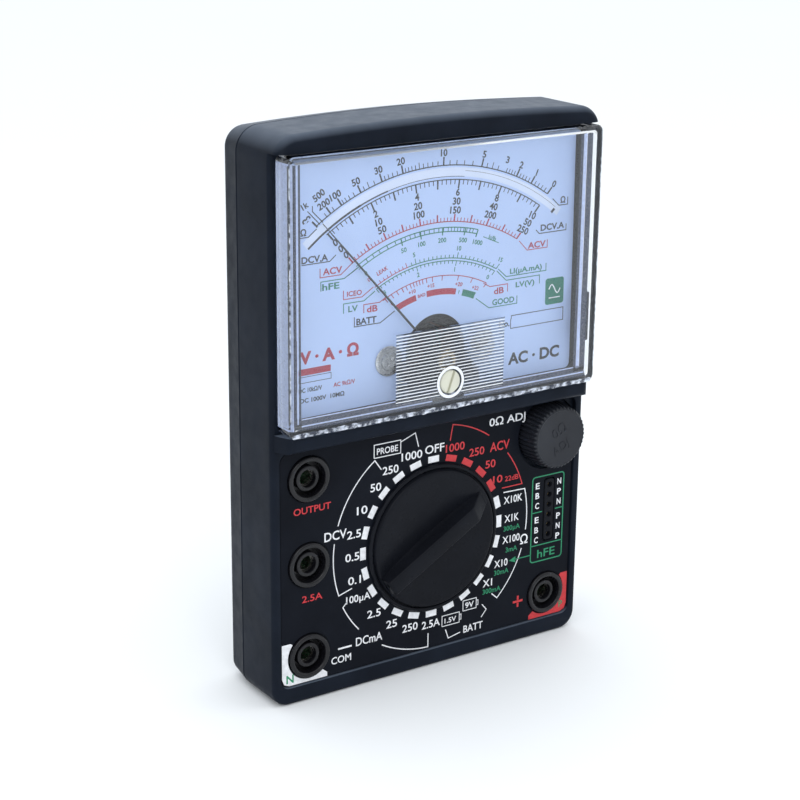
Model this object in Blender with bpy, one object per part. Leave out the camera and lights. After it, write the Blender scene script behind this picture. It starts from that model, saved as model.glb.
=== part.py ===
"""Analog multimeter with a mirror-scale meter, a 24-way selector and a removable back.

Every separate piece is its own object. Sizes below are millimetres and the solid-making helpers
turn them into metres. X is right, Z is up, and the front faces -Y. Depths (named ..._Y) run back
from the control panel's surface. The object stands on its bottom edge with the origin under the
middle of its bounding box.
"""
import math

import bmesh
import bpy
from mathutils import Matrix, Vector

MM = 0.001
GAP = 0.3
FINE_GAP = 0.15

# Case, outside
CASE_W = 100.0
CASE_H = 150.0
TOP_CROWN = 1.6
CORNER_R_TOP = 6.5
CORNER_R_BOTTOM = 5.0
RIM = 0.6
RIM_ROUND = 1.2
SEAM_Y = 15.0
BACK_Y = 25.5
BACK_ROUND = 4.0
BACK_DRAFT = 1.0
WALL = 2.2
FRONT_WALL = 2.4
BACK_WALL = 2.0
LIP_T = 1.0
LIP_H = 1.6

# Control panel
PANEL_MARGIN = 2.8
PANEL_Z = 5.2
PANEL_H = 64.2
PANEL_CORNER = 2.5
PANEL_T = 0.5
PANEL_HALF_W = CASE_W / 2 - PANEL_MARGIN
PANEL_TOP = PANEL_Z + PANEL_H

# Hood above the window, ledge under it
HOOD_PROUD = 4.2
HOOD_H = 4.4
HOOD_ROUND = 2.6
HOOD_ROOT = 0.5
LEDGE_SPACE = 1.5
LEDGE_Z = PANEL_TOP + LEDGE_SPACE
LEDGE_H = 4.3
LEDGE_PROUD = 5.6
LEDGE_ROUND = 1.4
LEDGE_END = 2.9

# Meter cover
COVER_PROUD = 7.0
COVER_MARGIN = 1.8
COVER_HALF_W = CASE_W / 2 - COVER_MARGIN
COVER_CORNER = 1.8
COVER_WALL = 1.5
COVER_EDGE = 1.0
LUG_RISE = 11.8
LUG_H = 13.5
LUG_PROUD = 5.2
LUG_T = 1.2

# Dial
DIAL_MARGIN = 3.8
DIAL_RISE = 3.1
DIAL_TUCK = 0.4
DIAL_HALF_W = COVER_HALF_W - DIAL_MARGIN
HOOD_Z = CASE_H - TOP_CROWN - HOOD_H
COVER_Z = LEDGE_Z + LEDGE_H + GAP
COVER_TOP = HOOD_Z - GAP
DIAL_Z = LEDGE_Z + LEDGE_H + DIAL_RISE
DIAL_H = HOOD_Z + DIAL_TUCK - DIAL_Z
DIAL_TOP = DIAL_Z + DIAL_H
LUG_Z = LEDGE_Z + LEDGE_H + LUG_RISE
DIAL_T = 0.5
DIAL_SINK = 0.6
DIAL_CORNER = 1.5
DIAL_CUT_R = 9.4
DIAL_CUT_RISE = 2.1
DIAL_SLOT_HALF_W = 12.0
DIAL_SLOT_DROP = 7.6
DIAL_SCREW_X = 14.9
DIAL_SCREW_RISE = 1.2
DIAL_SCREW_HEAD_R = 4.0

# Movement, measured from its pivot
PIVOT_RISE = 9.7
PIVOT_Z = DIAL_Z + PIVOT_RISE
REST_DEG = 42.0
SWEEP_DEG = 84.0
STAFF_R = 0.45
POINTER_Y = -2.0
POINTER_T = 0.4
POINTER_CLEAR = 0.7
POINTER_STOP_DEG = 45.0
POINTER_ROOM_UP = COVER_TOP - COVER_WALL - POINTER_CLEAR - PIVOT_Z
POINTER_ROOM_ACROSS = ((COVER_HALF_W - COVER_WALL - POINTER_CLEAR)
                       / math.sin(math.radians(POINTER_STOP_DEG)))
POINTER_LEN = min(POINTER_ROOM_UP, POINTER_ROOM_ACROSS)
POINTER_ROOT_W = 0.7
POINTER_TIP_W = 0.3
RING_R = 12.0
RING_BORE_R = 9.0
RING_Y = 3.0
RING_T = 9.0
CORE_R = 6.2
CORE_CLEAR = 0.6
HOLDER_W = 3.0
HOLDER_T = 2.0
FORMER_IN = 7.0
FORMER_T = 0.4
FORMER_W = 3.4
COIL_T = 0.7
COIL_W = 2.6
BRIDGE_POST_X = 9.5
BRIDGE_POST_DROP = 5.5
BRIDGE_POST_R = 1.4
BRIDGE_T = 0.8
FRONT_BRIDGE_Y = -4.0
REAR_BRIDGE_Y = 14.7
REAR_POST_R = 1.0
JEWEL_R = 1.3
SPRING_R = 4.0
SPRING_BORE_R = 1.2
SPRING_H = 0.5
SPRING_T = 0.2
SPRING_TURNS = 2.5
ADJUST_DROP = 5.1
ADJUST_HEAD_R = 3.15
ADJUST_PIN_R = 0.45
ADJUST_ECCENTRIC = 1.2
ARM_T = 0.6
FRAME_Y = 6.4
FRAME_T = 2.0
FRAME_R = 15.4
FRAME_ARM_X = 27.0
FRAME_ARM_H = 7.0
FRAME_ARM_DROP = 3.0
FRAME_POST_R = 2.0

# Selector switch
SELECTOR_OFF = 0.2
SELECTOR_Z = PANEL_Z + PANEL_H / 2 + SELECTOR_OFF
SELECTOR_REST_DEG = 60.0
POSITIONS = 24
SELECTOR_R = 20.8
SELECTOR_LIP = 1.2
SELECTOR_FACE_R = 19.4
SELECTOR_FACE = 1.9
SELECTOR_DISH = 0.9
GRIP_W = 4.7
GRIP_PROUD = 5.8
GRIP_TAIL = 19.0
GRIP_NOSE = 18.6
GRIP_FLAT = 12.0
SELECTOR_HUB_R = 9.0
ROTOR_R = 16.5
ROTOR_T = 2.6
ROTOR_HUB_R = 5.0
ROTOR_HUB_T = 4.8
NOTCH_DEPTH = 0.6
BALL_R = 1.5
WIPER_REACH = 13.0

# Ohm adjuster
ADJ_IN = 8.7
ADJ_DROP = 9.2
ADJ_X = PANEL_HALF_W - ADJ_IN
ADJ_Z = PANEL_TOP - ADJ_DROP
ADJ_R = 9.2
ADJ_TOP_R = 8.7
ADJ_PROUD = 5.5
ADJ_TEETH = 44
ADJ_TOOTH = 0.5
ADJ_POCKET = 1.1
ADJ_POCKET_Y = 2.2
ADJ_BOSS_T = 1.8
POT_R = 8.0
POT_T = 5.6
BUSHING_R = 3.0
SHAFT_R = 2.0

# Jacks, placed from the panel's edges
JACK_LEFT_IN = 8.4
JACK_RIGHT_IN = 8.0
JACK_DROP = 7.8
JACK_RISE = 7.4
JACK_MIDDLE_OFF = 0.6
JACKS = {"output": (JACK_LEFT_IN - PANEL_HALF_W, PANEL_TOP - JACK_DROP),
         "amp": (JACK_LEFT_IN - PANEL_HALF_W, SELECTOR_Z + JACK_MIDDLE_OFF),
         "com": (JACK_LEFT_IN - PANEL_HALF_W, PANEL_Z + JACK_RISE),
         "positive": (PANEL_HALF_W - JACK_RIGHT_IN, PANEL_Z + JACK_RISE)}
COLLAR_R = 6.1
COLLAR_PROUD = 0.8
COLLAR_WELL_R = 4.7
SLEEVE_R = 5.3
JACK_TUBE_R = 3.4
JACK_BORE_R = 2.3
JACK_WELL_Y = 3.0
JACK_MOUTH_Y = 0.3
SLEEVE_END_Y = 9.0
CONTACT_R = 2.7
CONTACT_BORE_R = 2.05

# Transistor socket
SOCKET_IN = 7.6
SOCKET_X = PANEL_HALF_W - SOCKET_IN
SOCKET_W = 3.3
SOCKET_H = 18.2
SOCKET_SHARE = 9.8 / 13.0
SOCKET_LOW = PANEL_Z + JACK_RISE + COLLAR_R
SOCKET_SPARE = ADJ_Z - ADJ_R - ADJ_POCKET - SOCKET_LOW - SOCKET_H
SOCKET_Z = SOCKET_LOW + SOCKET_H / 2 + SOCKET_SHARE * SOCKET_SPARE
SOCKET_DEEP = 6.0
SOCKET_PITCH = 2.95
SOCKET_HOLES = 6
SOCKET_HOLE_R = 0.55

# Circuit board, fuse
BOARD_Y = 11.0
BOARD_T = 1.6
BOARD_MARGIN = 5.0
BOARD_HALF_W = CASE_W / 2 - BOARD_MARGIN
BOARD_Z = PANEL_Z - 0.2
BOARD_H = PANEL_H + 0.8
BOARD_SCREW_X = 22.0
BOARD_SCREW_DROP = 3.4
BOARD_SCREW_RISE = 5.8
BOARD_SCREWS = {"upper": (-BOARD_SCREW_X, PANEL_TOP - BOARD_SCREW_DROP),
                "lower": (BOARD_SCREW_X, PANEL_Z + BOARD_SCREW_RISE)}
BOARD_POSTS = [(BOARD_SCREW_X, PANEL_TOP - BOARD_SCREW_DROP),
               (-BOARD_SCREW_X, PANEL_Z + BOARD_SCREW_RISE)]
POST_R = 3.0
FUSE_R = 2.6
FUSE_LEN = 20.0
FUSE_X = -22.0
FUSE_Z = SELECTOR_Z + 12.5

# Batteries and their tray
AA_R = 7.1
AA_LEN = 49.3
AA_NUB = 1.2
AA_IN = 5.0
AA_DROP = 22.8
AA_PITCH = 14.9
AA_X = AA_IN - CASE_W / 2
AA_Z = (CASE_H - AA_DROP - AA_PITCH, CASE_H - AA_DROP)
AA_CONTACT_ROOM = 1.6
NINE_W = 26.5
NINE_D = 17.0
NINE_H = 46.4
NINE_IN = 4.7
NINE_DROP = 7.0
NINE_X = CASE_W / 2 - NINE_IN - NINE_W
NINE_Z = CASE_H - NINE_DROP - NINE_H
STUD_H = 2.4
TRAY_Y = 2.7
TRAY_T = 1.2
TRAY_DEPTH = 11.0
SNAP_T = 3.2

# Screws that hold the back on
BACK_SCREW_DROP = 8.7
BACK_SCREW_RISE = 7.5
BACK_SCREWS = {"top": CASE_H - BACK_SCREW_DROP, "bottom": BACK_SCREW_RISE}
BOSS_R = 3.0
BACK_POST_R = 4.0
BACK_HEAD_R = 2.9
BACK_SHANK_R = 1.3

CASE_PLASTIC = ("case_plastic", (0.020, 0.022, 0.027), 0.45, 0.0)
PANEL_BLACK = ("panel_black", (0.014, 0.015, 0.018), 0.40, 0.0)
CLEAR = ("clear_plastic", (0.80, 0.86, 0.95), 0.05, 0.0)
KNOB_BLACK = ("knob_black", (0.012, 0.013, 0.016), 0.38, 0.0)
DIAL_WHITE = ("dial_white", (0.72, 0.80, 0.92), 0.55, 0.0)
CREAM = ("cream_plastic", (0.75, 0.70, 0.52), 0.45, 0.0)
STEEL = ("steel", (0.55, 0.56, 0.58), 0.30, 1.0)
BRASS = ("brass", (0.70, 0.52, 0.25), 0.30, 1.0)
NICKEL = ("nickel", (0.66, 0.64, 0.60), 0.25, 1.0)
ALUMINIUM = ("aluminium", (0.75, 0.76, 0.78), 0.35, 1.0)
COPPER = ("copper", (0.72, 0.36, 0.20), 0.35, 1.0)
MAGNET = ("magnet_black", (0.06, 0.06, 0.06), 0.60, 0.6)
NEEDLE = ("needle_black", (0.01, 0.01, 0.012), 0.40, 0.0)
BOARD = ("board_green", (0.04, 0.18, 0.08), 0.50, 0.0)
GLASS = ("fuse_glass", (0.85, 0.90, 0.90), 0.05, 0.0)
CELL = ("cell_jacket", (0.05, 0.10, 0.30), 0.35, 0.0)
BLOCK = ("battery_jacket", (0.10, 0.10, 0.12), 0.35, 0.0)


class Solid:
    """Collects closed shapes, given in millimetres, for one mesh."""

    def __init__(self):
        self.bm = bmesh.new()

    def loft(self, rings):
        """Join rings of (x, y, z) points, all of one length, and cap both ends."""
        rows = [[self.bm.verts.new(Vector(point) * MM) for point in ring] for ring in rings]
        count = len(rows[0])
        for near, far in zip(rows, rows[1:]):
            for i in range(count):
                j = (i + 1) % count
                self.bm.faces.new((near[i], near[j], far[j], far[i]))
        self.bm.faces.new(rows[0])
        self.bm.faces.new(list(reversed(rows[-1])))
        return self

    def prism(self, outline, y0, y1):
        """Extrude an outline of (x, z) points along Y."""
        return self.loft([[(x, y, z) for x, z in outline] for y in (y0, y1)])

    def box(self, low, high):
        (x0, y0, z0), (x1, y1, z1) = low, high
        return self.prism([(x0, z0), (x1, z0), (x1, z1), (x0, z1)], y0, y1)

    def ring(self, profile, x, z, segments):
        """Turn a closed (radius, y) profile about the Y line through x, z; it stays off the axis."""
        rows = []
        for i in range(segments):
            a = math.tau * i / segments
            row = [self.bm.verts.new(Vector((x + r * math.sin(a), y, z + r * math.cos(a))) * MM)
                   for r, y in profile]
            rows.append(row)
        count = len(profile)
        for i in range(segments):
            near = rows[i]
            far = rows[(i + 1) % segments]
            for k in range(count):
                m = (k + 1) % count
                self.bm.faces.new((near[k], near[m], far[m], far[k]))
        return self

    def turned(self, profile, x, z, segments):
        """Turn an open (radius, y) profile about the Y line through x, z and cap both ends."""
        return self.loft([[(x + r * math.sin(math.tau * i / segments), y,
                            z + r * math.cos(math.tau * i / segments))
                           for i in range(segments)] for r, y in profile])

    def cylinder(self, r, x, z, y0, y1, segments):
        return self.turned([(r, y0), (r, y1)], x, z, segments)

    def moved(self, matrix):
        """Apply a matrix whose translation is in millimetres."""
        metres = matrix.copy()
        metres.translation = metres.translation * MM
        self.bm.transform(metres)
        return self

    def kept_above(self, z):
        """Slice level at a height, throw the lower part away and close the slice."""
        everything = list(self.bm.verts) + list(self.bm.edges) + list(self.bm.faces)
        sliced = bmesh.ops.bisect_plane(self.bm, geom=everything, plane_co=(0, 0, z * MM),
                                        plane_no=(0, 0, 1), clear_inner=True)
        edges = [part for part in sliced["geom_cut"] if isinstance(part, bmesh.types.BMEdge)]
        bmesh.ops.contextual_create(self.bm, geom=edges)
        return self

    def mesh(self, name, origin):
        bmesh.ops.translate(self.bm, verts=self.bm.verts, vec=-Vector(origin) * MM)
        bmesh.ops.recalc_face_normals(self.bm, faces=self.bm.faces)
        data = bpy.data.meshes.new(name)
        self.bm.to_mesh(data)
        self.bm.free()
        data.shade_smooth()
        data.set_sharp_from_angle(angle=math.radians(35))
        return data


def clear_scene():
    for item in list(bpy.data.objects):
        bpy.data.objects.remove(item, do_unlink=True)


def material(spec):
    name, colour, roughness, metallic = spec
    found = bpy.data.materials.get(name)
    if found:
        return found
    made = bpy.data.materials.new(name)
    made.use_nodes = True
    shader = made.node_tree.nodes["Principled BSDF"]
    shader.inputs["Base Color"].default_value = (*colour, 1.0)
    shader.inputs["Roughness"].default_value = roughness
    shader.inputs["Metallic"].default_value = metallic
    return made


def add(name, solid, spec, origin=(0, 0, 0)):
    """Make one named piece with its origin at the given point."""
    item = bpy.data.objects.new(name, solid.mesh(name, origin))
    item.location = Vector(origin) * MM
    item.parent = ROOT
    item.data.materials.append(material(spec))
    bpy.context.scene.collection.objects.link(item)
    return item


def combine(item, solid, operation):
    """Cut a solid from an object, or join it on, by a Boolean with a hidden tool."""
    tool = bpy.data.objects.new(item.name + "_tool", solid.mesh(item.name + "_tool", (0, 0, 0)))
    tool.parent = ROOT
    tool.hide_render = True
    tool.display_type = "WIRE"
    bpy.context.scene.collection.objects.link(tool)
    step = item.modifiers.new(operation.lower(), "BOOLEAN")
    step.object = tool
    step.operation = operation
    step.solver = "EXACT"


def cut(item, solid):
    combine(item, solid, "DIFFERENCE")


def join(item, solid):
    combine(item, solid, "UNION")


def arc(cx, cz, r, a0, a1, steps):
    """Points on an arc, with angles in degrees counted anticlockwise from +X."""
    points = []
    for i in range(steps + 1):
        a = math.radians(a0 + (a1 - a0) * i / steps)
        points.append((cx + r * math.cos(a), cz + r * math.sin(a)))
    return points


def rounded(x0, z0, x1, z1, r, steps=4):
    """A rounded rectangle as (x, z) points."""
    return (arc(x0 + r, z0 + r, r, 180, 270, steps) + arc(x1 - r, z0 + r, r, 270, 360, steps)
            + arc(x1 - r, z1 - r, r, 0, 90, steps) + arc(x0 + r, z1 - r, r, 90, 180, steps))


def crown_drop(x):
    return TOP_CROWN * (x / (CASE_W / 2)) ** 2


def case_outline(inset, bottom=0.0, corner=CORNER_R_BOTTOM):
    """The case's outline with its crowned top, moved in by inset, from the height bottom up."""
    half = CASE_W / 2 - inset
    low = bottom + inset
    r_low = max(corner - inset, 0.4)
    r_top = max(CORNER_R_TOP - inset, 0.6)
    shoulder = half - r_top
    top_z = CASE_H - inset - crown_drop(shoulder) - r_top
    crown = [(shoulder * (1 - 2 * i / 8), CASE_H - inset - crown_drop(shoulder * (1 - 2 * i / 8)))
             for i in range(1, 8)]
    return (arc(-half + r_low, low + r_low, r_low, 180, 270, 4)
            + arc(half - r_low, low + r_low, r_low, 270, 360, 4)
            + arc(shoulder, top_z, r_top, 0, 90, 5) + crown
            + arc(-shoulder, top_z, r_top, 90, 180, 5))


def at_depth(outline, y):
    return [(x, y, z) for x, z in outline]


def clockwise(x, z, degrees, reach):
    """The point at a reach from x, z, with the angle clockwise from up as seen from the front."""
    a = math.radians(degrees)
    return x + reach * math.sin(a), z + reach * math.cos(a)


def turn_about(x, z, degrees):
    """A turn clockwise, as seen from the front, about the Y line through x, z."""
    return (Matrix.Translation((x, 0, z)) @ Matrix.Rotation(math.radians(degrees), 4, "Y")
            @ Matrix.Translation((-x, 0, -z)))


def quarter_round(front, radius, steps):
    """(inset, y) pairs that round a front edge over, from the side face to the front face."""
    pairs = []
    for i in range(steps + 1):
        a = math.radians(90 * i / steps)
        pairs.append((radius * (1 - math.cos(a)), front + radius * (1 - math.sin(a))))
    return pairs


def front_case():
    seam = SEAM_Y - GAP / 2
    shell = Solid()
    levels = [(0.0, seam)] + quarter_round(-RIM, RIM_ROUND, 3)
    shell.loft([at_depth(case_outline(inset), y) for inset, y in levels])
    item = add("front_case", shell, CASE_PLASTIC)

    hood = Solid()
    hood_levels = [(HOOD_ROOT, 1.5), (0.0, RIM_ROUND - RIM)] + quarter_round(-HOOD_PROUD, HOOD_ROUND, 4)
    hood.loft([at_depth(case_outline(inset), y) for inset, y in hood_levels])
    join(item, hood.kept_above(HOOD_Z))

    ledge = Solid()
    half = CASE_W / 2
    ledge_levels = [(0.0, 1.5)] + quarter_round(-LEDGE_PROUD, LEDGE_ROUND, 3)
    ledge_rings = []
    for inset, y in ledge_levels:
        lean = LEDGE_END * max(0.0, -y) / LEDGE_PROUD
        end = half - lean - inset
        ledge_rings.append([(-end, y, LEDGE_Z + inset), (end, y, LEDGE_Z + inset),
                            (end, y, LEDGE_Z + LEDGE_H - inset / 3),
                            (-end, y, LEDGE_Z + LEDGE_H - inset / 3)])
    ledge.loft(ledge_rings)
    join(item, ledge)

    cavity = Solid()
    cavity.loft([at_depth(case_outline(WALL), y) for y in (FRONT_WALL, SEAM_Y + 1.0)])
    cut(item, cavity)

    lip_room = Solid()
    lip_room.loft([at_depth(case_outline(WALL - LIP_T - GAP), y)
                   for y in (SEAM_Y - LIP_H - GAP, SEAM_Y + 1.0)])
    cut(item, lip_room)

    fixings = Solid()
    for z in BACK_SCREWS.values():
        fixings.cylinder(BOSS_R, 0.0, z, FRONT_WALL - 0.5, SEAM_Y - 1.0, 16)
    for x, z in list(BOARD_SCREWS.values()) + BOARD_POSTS:
        fixings.cylinder(POST_R, x, z, FRONT_WALL - 0.5, BOARD_Y - GAP, 16)
    for side in (-1, 1):
        fixings.cylinder(POST_R, side * FRAME_ARM_X, PIVOT_Z - FRAME_ARM_DROP, FRONT_WALL - 0.5,
                         FRAME_Y - GAP, 16)
    fixings.cylinder(ADJ_R + ADJ_POCKET + 1.4, ADJ_X - 1.0, ADJ_Z - 1.0, FRONT_WALL - 0.5,
                     ADJ_POCKET_Y + ADJ_BOSS_T, 24)
    join(item, fixings)

    recesses = Solid()
    recesses.prism(rounded(-PANEL_HALF_W - GAP, PANEL_Z - GAP, PANEL_HALF_W + GAP,
                           PANEL_TOP + GAP, PANEL_CORNER), -RIM - 1.0, PANEL_T + GAP)
    recesses.prism(rounded(-DIAL_HALF_W - GAP * 2, DIAL_Z - GAP * 2, DIAL_HALF_W + GAP * 2,
                           DIAL_TOP + GAP * 2, DIAL_CORNER), -RIM - 1.0,
                   DIAL_SINK + DIAL_T + GAP)
    cut(item, recesses)
    pocket = Solid()
    pocket.cylinder(ADJ_R + ADJ_POCKET, ADJ_X, ADJ_Z, -RIM - 1.0, ADJ_POCKET_Y, 32)
    cut(item, pocket)

    holes = Solid()
    deep = ADJ_POCKET_Y + ADJ_BOSS_T + 1.0
    for x, z in JACKS.values():
        holes.cylinder(SLEEVE_R + GAP, x, z, -RIM - 1.0, deep, 20)
    holes.cylinder(SELECTOR_HUB_R + 0.5, 0.0, SELECTOR_Z, -RIM - 1.0, deep, 32)
    holes.cylinder(BUSHING_R + GAP, ADJ_X, ADJ_Z, -RIM - 1.0, deep, 16)
    half_w = SOCKET_W / 2 + GAP
    half_h = SOCKET_H / 2 + GAP
    holes.prism(rounded(SOCKET_X - half_w, SOCKET_Z - half_h, SOCKET_X + half_w, SOCKET_Z + half_h,
                        1.0, 2), -RIM - 1.0, deep)
    reach = DIAL_SCREW_X + FRAME_POST_R + 1.5
    low = PIVOT_Z - RING_BORE_R - 2.0
    holes.prism(rounded(-reach, low, reach, PIVOT_Z + RING_R + 1.0, 2.0, 2), -RIM - 1.0, deep)
    for z in BACK_SCREWS.values():
        holes.cylinder(BACK_SHANK_R + GAP, 0.0, z, FRONT_WALL + 1.0, SEAM_Y, 12)
    for x, z in BOARD_SCREWS.values():
        holes.cylinder(1.2, x, z, FRONT_WALL + 1.0, BOARD_Y + 1.0, 12)
    for side in (-1, 1):
        holes.cylinder(1.2, side * FRAME_ARM_X, PIVOT_Z - FRAME_ARM_DROP, FRONT_WALL + 0.5,
                       FRAME_Y + 1.0, 12)
    cut(item, holes)

    lugs = Solid()
    inner = COVER_HALF_W - COVER_WALL - GAP
    for side in (-1, 1):
        x0, x1 = sorted((side * inner, side * (inner - LUG_T)))
        lugs.box((x0, -LUG_PROUD, LUG_Z), (x1, 0.5, LUG_Z + LUG_H))
    join(item, lugs)


def rear_case():
    shell = Solid()
    start = SEAM_Y + GAP / 2
    rings = [at_depth(case_outline(0.0), start)]
    rings.append(at_depth(case_outline(BACK_DRAFT), BACK_Y - BACK_ROUND))
    for i in range(1, 5):
        a = math.radians(90 * i / 4)
        inset = BACK_DRAFT + BACK_ROUND * (1 - math.cos(a))
        rings.append(at_depth(case_outline(inset), BACK_Y - BACK_ROUND * (1 - math.sin(a))))
    shell.loft(rings)
    item = add("rear_case", shell, CASE_PLASTIC)

    inner_y = BACK_Y - BACK_WALL
    cavity = Solid()
    cavity.loft([at_depth(case_outline(WALL), SEAM_Y - 1.0),
                 at_depth(case_outline(WALL + BACK_DRAFT), BACK_Y - BACK_ROUND),
                 at_depth(case_outline(WALL + BACK_DRAFT + 1.6), inner_y)])
    cut(item, cavity)

    lip = Solid()
    lip.loft([at_depth(case_outline(WALL - LIP_T), y) for y in (SEAM_Y - LIP_H, SEAM_Y + 1.0)])
    join(item, lip)
    lip_bore = Solid()
    lip_bore.loft([at_depth(case_outline(WALL), y) for y in (SEAM_Y - LIP_H - 1.0, SEAM_Y + 2.0)])
    cut(item, lip_bore)

    posts = Solid()
    for z in BACK_SCREWS.values():
        posts.cylinder(BACK_POST_R, 0.0, z, SEAM_Y - 0.7, inner_y + 0.5, 20)
    join(item, posts)
    holes = Solid()
    for z in BACK_SCREWS.values():
        holes.turned([(BACK_SHANK_R + GAP, SEAM_Y - 2.0), (BACK_SHANK_R + GAP, BACK_Y - 2.8),
                      (BACK_HEAD_R + GAP, BACK_Y - 2.8), (BACK_HEAD_R + GAP, BACK_Y + 1.0)],
                     0.0, z, 16)
    cut(item, holes)


def screw(name, x, z, head_r, head_y, head_t, shank_r, tip_y, spec, slotted=True):
    """A slotted screw along Y. Its head runs from head_y by head_t, away from its tip."""
    away = 1 if head_y > tip_y else -1
    top = head_y + away * head_t
    body = Solid()
    body.turned([(shank_r * 0.4, tip_y), (shank_r, tip_y + away * shank_r), (shank_r, head_y),
                 (head_r, head_y), (head_r, top - away * 0.3), (head_r - 0.4, top)], x, z, 16)
    item = add(name, body, spec, (x, 0, z))
    if slotted:
        slot = Solid()
        low, high = sorted((top - away * head_t * 0.5, top + away * 1.0))
        slot.box((x - head_r - 1.0, low, z - 0.35), (x + head_r + 1.0, high, z + 0.35))
        cut(item, slot)
    return item


def case_screws():
    for place, z in BACK_SCREWS.items():
        screw("rear_case_screw_" + place, 0.0, z, BACK_HEAD_R, BACK_Y - 2.5, 1.8, BACK_SHANK_R,
              SEAM_Y - 8.0, STEEL)


def control_panel():
    plate = Solid()
    plate.prism(rounded(-PANEL_HALF_W, PANEL_Z, PANEL_HALF_W, PANEL_TOP, PANEL_CORNER),
                0.0, PANEL_T)
    item = add("control_panel", plate, PANEL_BLACK)
    pocket = Solid()
    pocket.cylinder(ADJ_R + ADJ_POCKET, ADJ_X, ADJ_Z, -1.0, PANEL_T + 1.0, 32)
    cut(item, pocket)
    corner = Solid()
    corner.box((ADJ_X + 3.0, -1.5, ADJ_Z + 3.0), (CASE_W, PANEL_T + 1.5, PANEL_TOP + 5.0))
    cut(item, corner)
    holes = Solid()
    for x, z in JACKS.values():
        holes.cylinder(COLLAR_R + GAP, x, z, -1.0, PANEL_T + 1.0, 24)
    holes.cylinder(SELECTOR_HUB_R + 0.8, 0.0, SELECTOR_Z, -1.0, PANEL_T + 1.0, 32)
    half_w = SOCKET_W / 2 + GAP
    half_h = SOCKET_H / 2 + GAP
    holes.prism(rounded(SOCKET_X - half_w, SOCKET_Z - half_h, SOCKET_X + half_w, SOCKET_Z + half_h,
                        1.0, 2), -1.0, PANEL_T + 1.0)
    cut(item, holes)


def meter_cover():
    low = COVER_Z
    high = COVER_TOP
    rear = -RIM - GAP
    body = Solid()
    rings = []
    for inset, y in [(0.0, rear)] + quarter_round(-COVER_PROUD, COVER_EDGE, 3):
        outline = rounded(-COVER_HALF_W + inset, low + inset, COVER_HALF_W - inset, high - inset,
                          COVER_CORNER - inset / 2, 3)
        rings.append(at_depth(outline, y))
    body.loft(rings)
    item = add("meter_cover", body, CLEAR)
    hollow = Solid()
    hollow.prism(rounded(-COVER_HALF_W + COVER_WALL, low + COVER_WALL, COVER_HALF_W - COVER_WALL,
                         high - COVER_WALL, 1.0, 2), -COVER_PROUD + COVER_WALL, rear + 1.0)
    cut(item, hollow)
    hole = Solid()
    hole.cylinder(ADJUST_HEAD_R + GAP, 0.0, PIVOT_Z - ADJUST_DROP, -COVER_PROUD - 1.0, rear, 24)
    cut(item, hole)


def dial():
    plate = Solid()
    y0 = DIAL_SINK
    y1 = DIAL_SINK + DIAL_T
    plate.prism(rounded(-DIAL_HALF_W, DIAL_Z, DIAL_HALF_W, DIAL_TOP, DIAL_CORNER), y0, y1)
    item = add("dial_plate", plate, DIAL_WHITE)
    window = Solid()
    window.cylinder(DIAL_CUT_R, 0.0, PIVOT_Z + DIAL_CUT_RISE, y0 - 1.0, y1 + 1.0, 40)
    for side in (-1, 1):
        window.cylinder(1.3, side * DIAL_SCREW_X, PIVOT_Z + DIAL_SCREW_RISE, y0 - 1.0, y1 + 1.0, 12)
    cut(item, window)
    slot = Solid()
    slot.box((-DIAL_SLOT_HALF_W, y0 - 1.0, PIVOT_Z - DIAL_SLOT_DROP),
             (DIAL_SLOT_HALF_W, y1 + 1.0, PIVOT_Z + 0.5))
    cut(item, slot)
    for name, side in (("left", -1), ("right", 1)):
        screw("dial_screw_" + name, side * DIAL_SCREW_X, PIVOT_Z + DIAL_SCREW_RISE,
              DIAL_SCREW_HEAD_R, DIAL_SINK - GAP, 1.0, 1.0, DIAL_SINK + 3.6, STEEL)


def pointer():
    """The needle, made pointing up and turned to its place at zero."""
    y0 = POINTER_Y - POINTER_T / 2
    y1 = POINTER_Y + POINTER_T / 2
    root = STAFF_R + FINE_GAP + 0.9
    blade = Solid()
    blade.prism([(-POINTER_ROOT_W / 2, PIVOT_Z + 0.9), (POINTER_ROOT_W / 2, PIVOT_Z + 0.9),
                 (POINTER_TIP_W / 2, PIVOT_Z + POINTER_LEN),
                 (-POINTER_TIP_W / 2, PIVOT_Z + POINTER_LEN)], y0, y1)
    place = (0, 0, PIVOT_Z)
    turn = turn_about(0.0, PIVOT_Z, -REST_DEG)
    item = add("pointer", blade.moved(turn), NEEDLE, place)
    eye = Solid()
    eye.ring([(STAFF_R + FINE_GAP, y0), (root, y0), (root, y1), (STAFF_R + FINE_GAP, y1)],
             0.0, PIVOT_Z, 20)
    join(item, eye)

    cross = Solid()
    c0 = POINTER_Y + POINTER_T / 2 + GAP
    c1 = c0 + 0.6
    cross.box((-6.0, c0, PIVOT_Z - 0.5), (6.0, c1, PIVOT_Z + 0.5))
    item = add("balance_cross", cross.moved(turn), BRASS, place)
    hub = Solid()
    hub.cylinder(1.4, 0.0, PIVOT_Z, c0 - 0.1, c1 + 0.3, 16)
    join(item, hub.moved(turn))
    tail = Solid()
    tail.box((-0.4, c0 + 0.1, PIVOT_Z - 6.5), (0.4, c1 - 0.1, PIVOT_Z - 0.9))
    join(item, tail.moved(turn))
    weights = Solid()
    for x, z in ((-5.1, 0.0), (5.1, 0.0), (0.0, -5.6)):
        weights.cylinder(1.0, x, PIVOT_Z + z, c0 - 0.1, c1 + 0.3, 12)
    join(item, weights.moved(turn))
    bore = Solid()
    bore.cylinder(STAFF_R + FINE_GAP, 0.0, PIVOT_Z, c0 - 1.0, c1 + 1.0, 16)
    cut(item, bore)


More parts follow.
